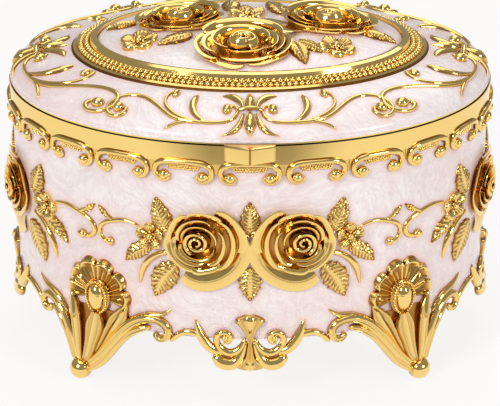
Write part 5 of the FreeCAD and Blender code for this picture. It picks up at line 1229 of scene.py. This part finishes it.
class BOX_OT_enamel(PieceOperator, bpy.types.Operator):
    """Enamel skins on the wall, the lid slope and the panel"""
    bl_idname = "jewel_box.enamel"
    bl_label = "Enamel"

    def execute(self, context):
        box, _ = self.sizes(context)
        wall, slope = Wall(box), Slope(box)
        proud, sunk, gap, panel_gap = 0.06, -0.25, 0.02, 0.15
        around = np.linspace(0, wall.run[-1] / 2, 700, endpoint=False)[None, :]
        top = math.hypot(box.ring_inset, box.slope_rise)
        skins = (("wall_enamel", "box", wall, (box.skirt + gap, box.band_bottom - gap, 110)),
                 ("slope_enamel", "lid", slope, (0.05, top - gap, 44)))
        for name, body, surface, span in skins:
            levels = np.linspace(*span)
            rows = np.concatenate([levels, levels[[-1, 0]]])[:, None]
            lift = np.where(np.arange(len(rows)) < len(levels), proud, sunk)[:, None]
            enamel_skin(name, body, surface, around, rows, lift, True)
        rim = np.array(LIP_RIM)
        enamel_skin("lip_enamel", "lid", wall, around, box.slope_bottom - 1 + rim[:, :1], rim[:, 1:], True)
        wide, deep = (side - box.panel_inset - panel_gap for side in (box.half_width, box.half_depth))
        share = np.concatenate([[1.0], np.sin(np.linspace(math.pi / 2, 0.01, 60))])[:, None]
        angle = np.linspace(0, TURN, 260, endpoint=False)[None, :]
        lift = np.where(np.arange(len(share)) < 1, sunk, proud)[:, None]
        across, behind = wide * share * np.cos(angle), deep * share * np.sin(angle)
        enamel_skin("panel_enamel", "lid", Dome(box), across, behind, lift, False)
        return {"FINISHED"}


def tube(casting, rows):
    """A limb through places in room: rows are across, behind, up and two radii."""
    path = smooth(rows, 6, 3)
    ahead = np.gradient(path[:, :3], axis=0)
    ahead /= np.linalg.norm(ahead, axis=1)[:, None]
    aside = np.cross(ahead, (0.0, 1.0, 0.0))
    aside /= np.linalg.norm(aside, axis=1)[:, None]
    over = np.cross(aside, ahead)
    turn = np.linspace(0, TURN, 20, endpoint=False)
    spots = (path[:, None, :3] + aside[:, None] * (path[:, 3:4] * np.cos(turn))[:, :, None]
             + over[:, None] * (path[:, 4:5] * np.sin(turn))[:, :, None])
    casting.shell(Flat(), spots[:, :, 0], spots[:, :, 1], spots[:, :, 2])


# The dancer in shares of the figure. The standing leg and trunk: behind, up, half width, half depth; the
# other limbs, shoes and straps: across, behind, up, radius.
TRUNK = ((0, 0.0, 0.012, 0.012), (0, 0.05, 0.018, 0.018), (0, 0.12, 0.024, 0.023), (0.004, 0.2, 0.033, 0.032),
         (0, 0.27, 0.028, 0.027), (0, 0.36, 0.042, 0.040), (0, 0.44, 0.068, 0.052), (0, 0.52, 0.046, 0.036),
         (0, 0.6, 0.062, 0.046), (0, 0.645, 0.064, 0.036), (0, 0.675, 0.034, 0.028), (0, 0.70, 0.023, 0.022),
         (0, 0.74, 0.022, 0.022))
ARM = ((0.055, 0, 0.645, 0.020), (0.13, -0.01, 0.72, 0.018), (0.15, -0.02, 0.82, 0.015),
       (0.10, -0.03, 0.93, 0.012), (0.03, -0.03, 0.985, 0.008))
BENT_LEG = ((0.03, -0.01, 0.42, 0.038), (0.12, -0.03, 0.37, 0.033), (0.17, -0.04, 0.30, 0.027),
            (0.11, -0.035, 0.24, 0.026), (0.06, -0.031, 0.21, 0.019))
SHOES = (((0, 0, 0.001, 0.013), (0, 0, 0.02, 0.018), (0, 0, 0.05, 0.0215), (0, 0, 0.085, 0.0235)),
         ((0.072, -0.032, 0.216, 0.022), (0.05, -0.031, 0.203, 0.020), (0.025, -0.03, 0.188, 0.011)))
STRAP = ((0.036, -0.046, 0.606, 0.006), (0.046, -0.030, 0.646, 0.006), (0.046, 0.012, 0.658, 0.006),
         (0.036, 0.038, 0.62, 0.006))


class BOX_OT_dancer(PieceOperator, bpy.types.Operator):
    """The dancer: figure, bodice, shoes, hair, face and a layered tutu"""
    bl_idname = "jewel_box.dancer"
    bl_label = "Dancer"

    def execute(self, context):
        box, _ = self.sizes(context)
        self.foot, self.tall = box.stage_top, box.dancer
        skin = Casting()
        tube(skin, [self.row(0, *rest) for rest in TRUNK])
        for side in (-1, 1):
            self.limb(skin, ARM, side)
        self.limb(skin, BENT_LEG)
        self.bulb(skin, (0, -0.006, 0.775), (0.047, 0.051, 0.060))
        self.bulb(skin, (0, -0.056, 0.768), (0.007, 0.010, 0.010))
        skin.piece("dancer_figure", STORE["doll_plastic"], "stage_train", "doll_plastic", "dancer")
        self.dress()
        self.head()
        self.tutu()
        return {"FINISHED"}

    def at(self, across, behind, up):
        """A place in millimetres from shares of the figure."""
        return across * self.tall, behind * self.tall, self.foot + up * self.tall

    def row(self, across, behind, up, wide, deep):
        """A row of a limb, place and radii."""
        return (*self.at(across, behind, up), wide * self.tall, deep * self.tall)

    def limb(self, casting, rows, side=1, grow=0.0):
        """A round limb, mirrored by its side."""
        tube(casting, [self.row(side * x, y, up, size + grow, size + grow) for x, y, up, size in rows])

    def bulb(self, casting, middle, radii, ends=POLES):
        """A rounded form, whole or cut off below an angle."""
        rounded(casting, Flat(), self.at(*middle), [self.tall * size for size in radii], (20, 32), ends)

    def dress(self):
        """Bodice with straps, and both shoes."""
        bodice = Casting()
        grow = 0.004
        rows = [self.row(0, behind, up, wide + grow, deep + grow) for behind, up, wide, deep in TRUNK[5:9]]
        tube(bodice, rows + [self.row(0, 0, 0.622, 0.055, 0.040)])
        for side in (-1, 1):
            self.limb(bodice, STRAP, side)
        for rows in SHOES:
            self.limb(bodice, rows, grow=0.003)
        bodice.piece("dancer_dress", STORE["bodice"], "stage_train", "tulle")

    def head(self):
        """Hair with a bun, eyes with brows, and lips."""
        hair, eyes, lips = Casting(), Casting(), Casting()
        self.bulb(hair, (0, 0.003, 0.782), (0.051, 0.053, 0.061), (POLES[0], 1.75))
        self.bulb(hair, (0, 0.020, 0.770), (0.047, 0.040, 0.050))
        self.bulb(hair, (0, 0.035, 0.828), (0.030, 0.030, 0.028))
        for side in (-1, 1):
            self.bulb(eyes, (side * 0.019, -0.0505, 0.783), (0.0075, 0.004, 0.0055))
            self.bulb(eyes, (side * 0.019, -0.0490, 0.797), (0.0105, 0.003, 0.0016))
        self.bulb(lips, (0, -0.0505, 0.747), (0.010, 0.005, 0.0035))
        for name, casting in (("hair", hair), ("eyes", eyes), ("lips", lips)):
            casting.piece(f"dancer_{name}", STORE[name], "stage_train", "doll_plastic")

    def tutu(self):
        """Four ruffled layers of net."""
        layers, apart, thick, waves = 4, 0.42, 0.16, 22
        net = Casting()
        angle = np.linspace(0, TURN, 240, endpoint=False)[None, :]
        waist = self.at(0, 0, 0.462)[2]
        for layer in range(layers):
            reach = np.array([1.2, 3.0, 5.2, 7.6, 9.4, 10.6 - 0.5 * layer])[:, None]
            wave = np.sin((waves + 3 * layer) * angle + 1.3 * layer)
            lift = waist - apart * layer - 0.012 * (1 + 0.5 * layer) * reach ** 2 + 0.004 * reach ** 2 * wave
            reach = reach * (1 + 0.012 * reach / 10 * wave)
            rows = np.concatenate([lift, lift[::-1] - thick])
            radius = np.concatenate([reach, reach[::-1]])
            net.shell(Flat(), radius * np.cos(angle), radius * np.sin(angle), rows, loop=True)
        thing = net.piece("dancer_tutu", STORE["tulle"], "stage_train", "tulle", "dancer_skirt")


# Pins of the music cylinder: tracks, pins on each, margin at the ends, height and radius.
PIN_TRACKS, PINS_EACH, PIN_MARGIN, PIN_HEIGHT, PIN_RADIUS = 18, 6, 0.6, 0.1, 0.22


class BOX_OT_cylinder_pins(PieceOperator, bpy.types.Operator):
    """The pins of the music cylinder"""
    bl_idname = "jewel_box.cylinder_pins"
    bl_label = "Cylinder pins"

    def execute(self, context):
        low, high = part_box("music_cylinder")
        middle, radius = (low + high) / 2 / MM, (high.x - low.x) / 2 / MM
        rng = np.random.default_rng(7)
        lines = []
        for track in np.linspace(low.y / MM + PIN_MARGIN, high.y / MM - PIN_MARGIN, PIN_TRACKS):
            for angle in rng.uniform(0, TURN, PINS_EACH):
                aim = np.array([math.cos(angle), 0, math.sin(angle)])
                foot = np.array([middle.x, track, middle.z]) + aim * radius
                lines.append(np.stack([foot, foot + aim * PIN_HEIGHT]))
        string_beads("cylinder_pins", lines, 1.0, PIN_RADIUS, "cylinder_train", "steel")
        return {"FINISHED"}


def seen_ray(wire):
    """1 for rays that show the background: straight from the camera, mirrored or through glass."""
    kinds = ("Camera", "Glossy", "Transmission")
    rays = [wire.add("ShaderNodeLightPath", f"Is {kind} Ray") for kind in kinds]
    return wire.math("MAXIMUM", wire.math("MAXIMUM", rays[0], rays[1]), rays[2])


# Lamps that look at the middle of the box: name, place, size, power.
LAMP_AIM = Vector((0, 0, 0.05))
LAMPS = (("key", (-0.55, -0.72, 0.62), 0.34, 4.5), ("fill", (0.7, -0.6, 0.45), 0.26, 2.9),
         ("rim", (0.15, 0.68, 0.88), 0.8, 2.4), ("top", (-0.1, -0.05, 1.0), 0.9, 2.1))


def lay_sheet(name, half, near, far, up, finish, seen=True):
    """A flat sheet of the stage, near to far along the floor; one that isn't seen throws no shadow."""
    mesh = bpy.data.meshes.new(name)
    corners = [(-half, near, up), (half, near, up), (half, far, up), (-half, far, up)]
    mesh.from_pydata(corners, [], [(0, 1, 2, 3)])
    mesh.materials.append(finish)
    thing = bpy.data.objects.new(name, mesh)
    bpy.context.scene.collection.objects.link(thing)
    thing.visible_camera = thing.visible_shadow = seen


class BOX_OT_stage(PieceOperator, bpy.types.Operator):
    """Floor, soft light and the camera"""
    bl_idname = "jewel_box.stage"
    bl_label = "Stage"

    def execute(self, context):
        studio = context.scene.studio
        self.floor()
        self.cloth()
        self.light(context)
        back = Vector((0, -math.cos(studio.elevation), math.sin(studio.elevation)))
        camera = bpy.data.cameras.new("camera")
        camera.lens, camera.sensor_width, camera.shift_y = studio.lens, 36.0, studio.shift
        camera.clip_start, camera.clip_end = 0.01, 50
        holder = bpy.data.objects.new("camera", camera)
        holder.location = Vector((0, 0, studio.aim)) + back * studio.distance
        holder.rotation_euler = (-back).to_track_quat("-Z", "Y").to_euler()
        context.scene.collection.objects.link(holder)
        context.scene.camera = holder
        context.scene.view_settings.view_transform = "Standard"
        return {"FINISHED"}

    @staticmethod
    def floor():
        """A pale floor that shows as white where it is seen and keeps the shadow."""
        made, shader, wire, _ = finish("pale_floor", Base_Color=(0.97, 0.94, 0.93, 1), Roughness=0.6)
        tree = made.node_tree
        glow = wire.add("ShaderNodeEmission", Color=(1, 0.99, 0.987, 1), Strength=1.0)
        plain = Wire(tree, shader.outputs[0])
        blend = wire.add("ShaderNodeMixShader", s0=seen_ray(wire) * 0.85, s1=plain, s2=glow)
        tree.links.new(blend.socket, tree.nodes["Material Output"].inputs["Surface"])
        lay_sheet("floor", 6.0, -6.0, 6.0, 0, made)

    @staticmethod
    def cloth():
        """A dark cloth in front, out of the picture and fading at its edges, for the gold to mirror."""
        made, shader, wire, place = finish("dark_cloth", Base_Color=(0.10, 0.075, 0.055, 1), Roughness=0.9)
        across, behind = (wire.add("ShaderNodeSeparateXYZ", axis, Vector=place) for axis in "XY")
        inside = wire.math("ABSOLUTE", across, 0.0).ramp((0.06, 1.0), (0.17, 0.0))
        feed(shader, Alpha=inside * (0.0 - behind).ramp((0.195, 0.0), (0.225, 0.7)))
        lay_sheet("dark_cloth", 0.2, -0.5, -0.19, 0.0005, made, seen=False)

    @staticmethod
    def light(context):
        """A plain white world and the lamps."""
        world = bpy.data.worlds.new("studio")
        world.use_nodes = True
        context.scene.world = world
        back = world.node_tree.nodes["Background"]
        back.inputs["Color"].default_value = (1, 1, 1, 1)
        back.inputs["Strength"].default_value = 0.3
        for name, place, size, power in LAMPS:
            lamp = bpy.data.lights.new(name, "AREA")
            lamp.energy, lamp.size, lamp.shape = power, size, "DISK"
            holder = bpy.data.objects.new(name, lamp)
            holder.location = place
            aim = LAMP_AIM - holder.location
            holder.rotation_euler = aim.to_track_quat("-Z", "Y").to_euler()
            context.scene.collection.objects.link(holder)


PIECES = (BOX_OT_paint, BOX_OT_sprays, BOX_OT_frieze, BOX_OT_feet, BOX_OT_aprons, BOX_OT_vines,
          BOX_OT_bead_frame, BOX_OT_lid_roses, BOX_OT_tab, BOX_OT_enamel, BOX_OT_dancer, BOX_OT_cylinder_pins,
          BOX_OT_stage)


class BOX_PT_panel(bpy.types.Panel):
    """The box's pieces and sizes"""
    bl_idname = "BOX_PT_panel"
    bl_label = "Jewellery Box"
    bl_space_type = "VIEW_3D"
    bl_region_type = "UI"
    bl_category = "Jewellery Box"

    def draw(self, context):
        for piece in PIECES:
            self.layout.operator(piece.bl_idname)
        for name, group in GROUPS.items():
            box = self.layout.box()
            box.label(text=group.__doc__)
            for key in group.__annotations__:
                box.prop(getattr(context.scene, name), key)


GROUPS = {"box_sizes": BoxSizes, "ornament_sizes": OrnamentSizes, "finishes": Finishes, "studio": Studio}


def register():
    """Register the classes and hang the property groups on the scene."""
    for cls in (*GROUPS.values(), *PIECES, BOX_PT_panel):
        bpy.utils.register_class(cls)
    for name, group in GROUPS.items():
        setattr(bpy.types.Scene, name, PointerProperty(type=group))


def unregister():
    """Take everything back off."""
    for name in GROUPS:
        delattr(bpy.types.Scene, name)
    for cls in (BOX_PT_panel, *reversed(PIECES), *GROUPS.values()):
        bpy.utils.unregister_class(cls)


def main():
    """Register and build the pieces in order."""
    register()
    for piece in PIECES:
        group, name = piece.bl_idname.split(".")
        getattr(getattr(bpy.ops, group), name)()


if __name__ == "__main__":
    main()
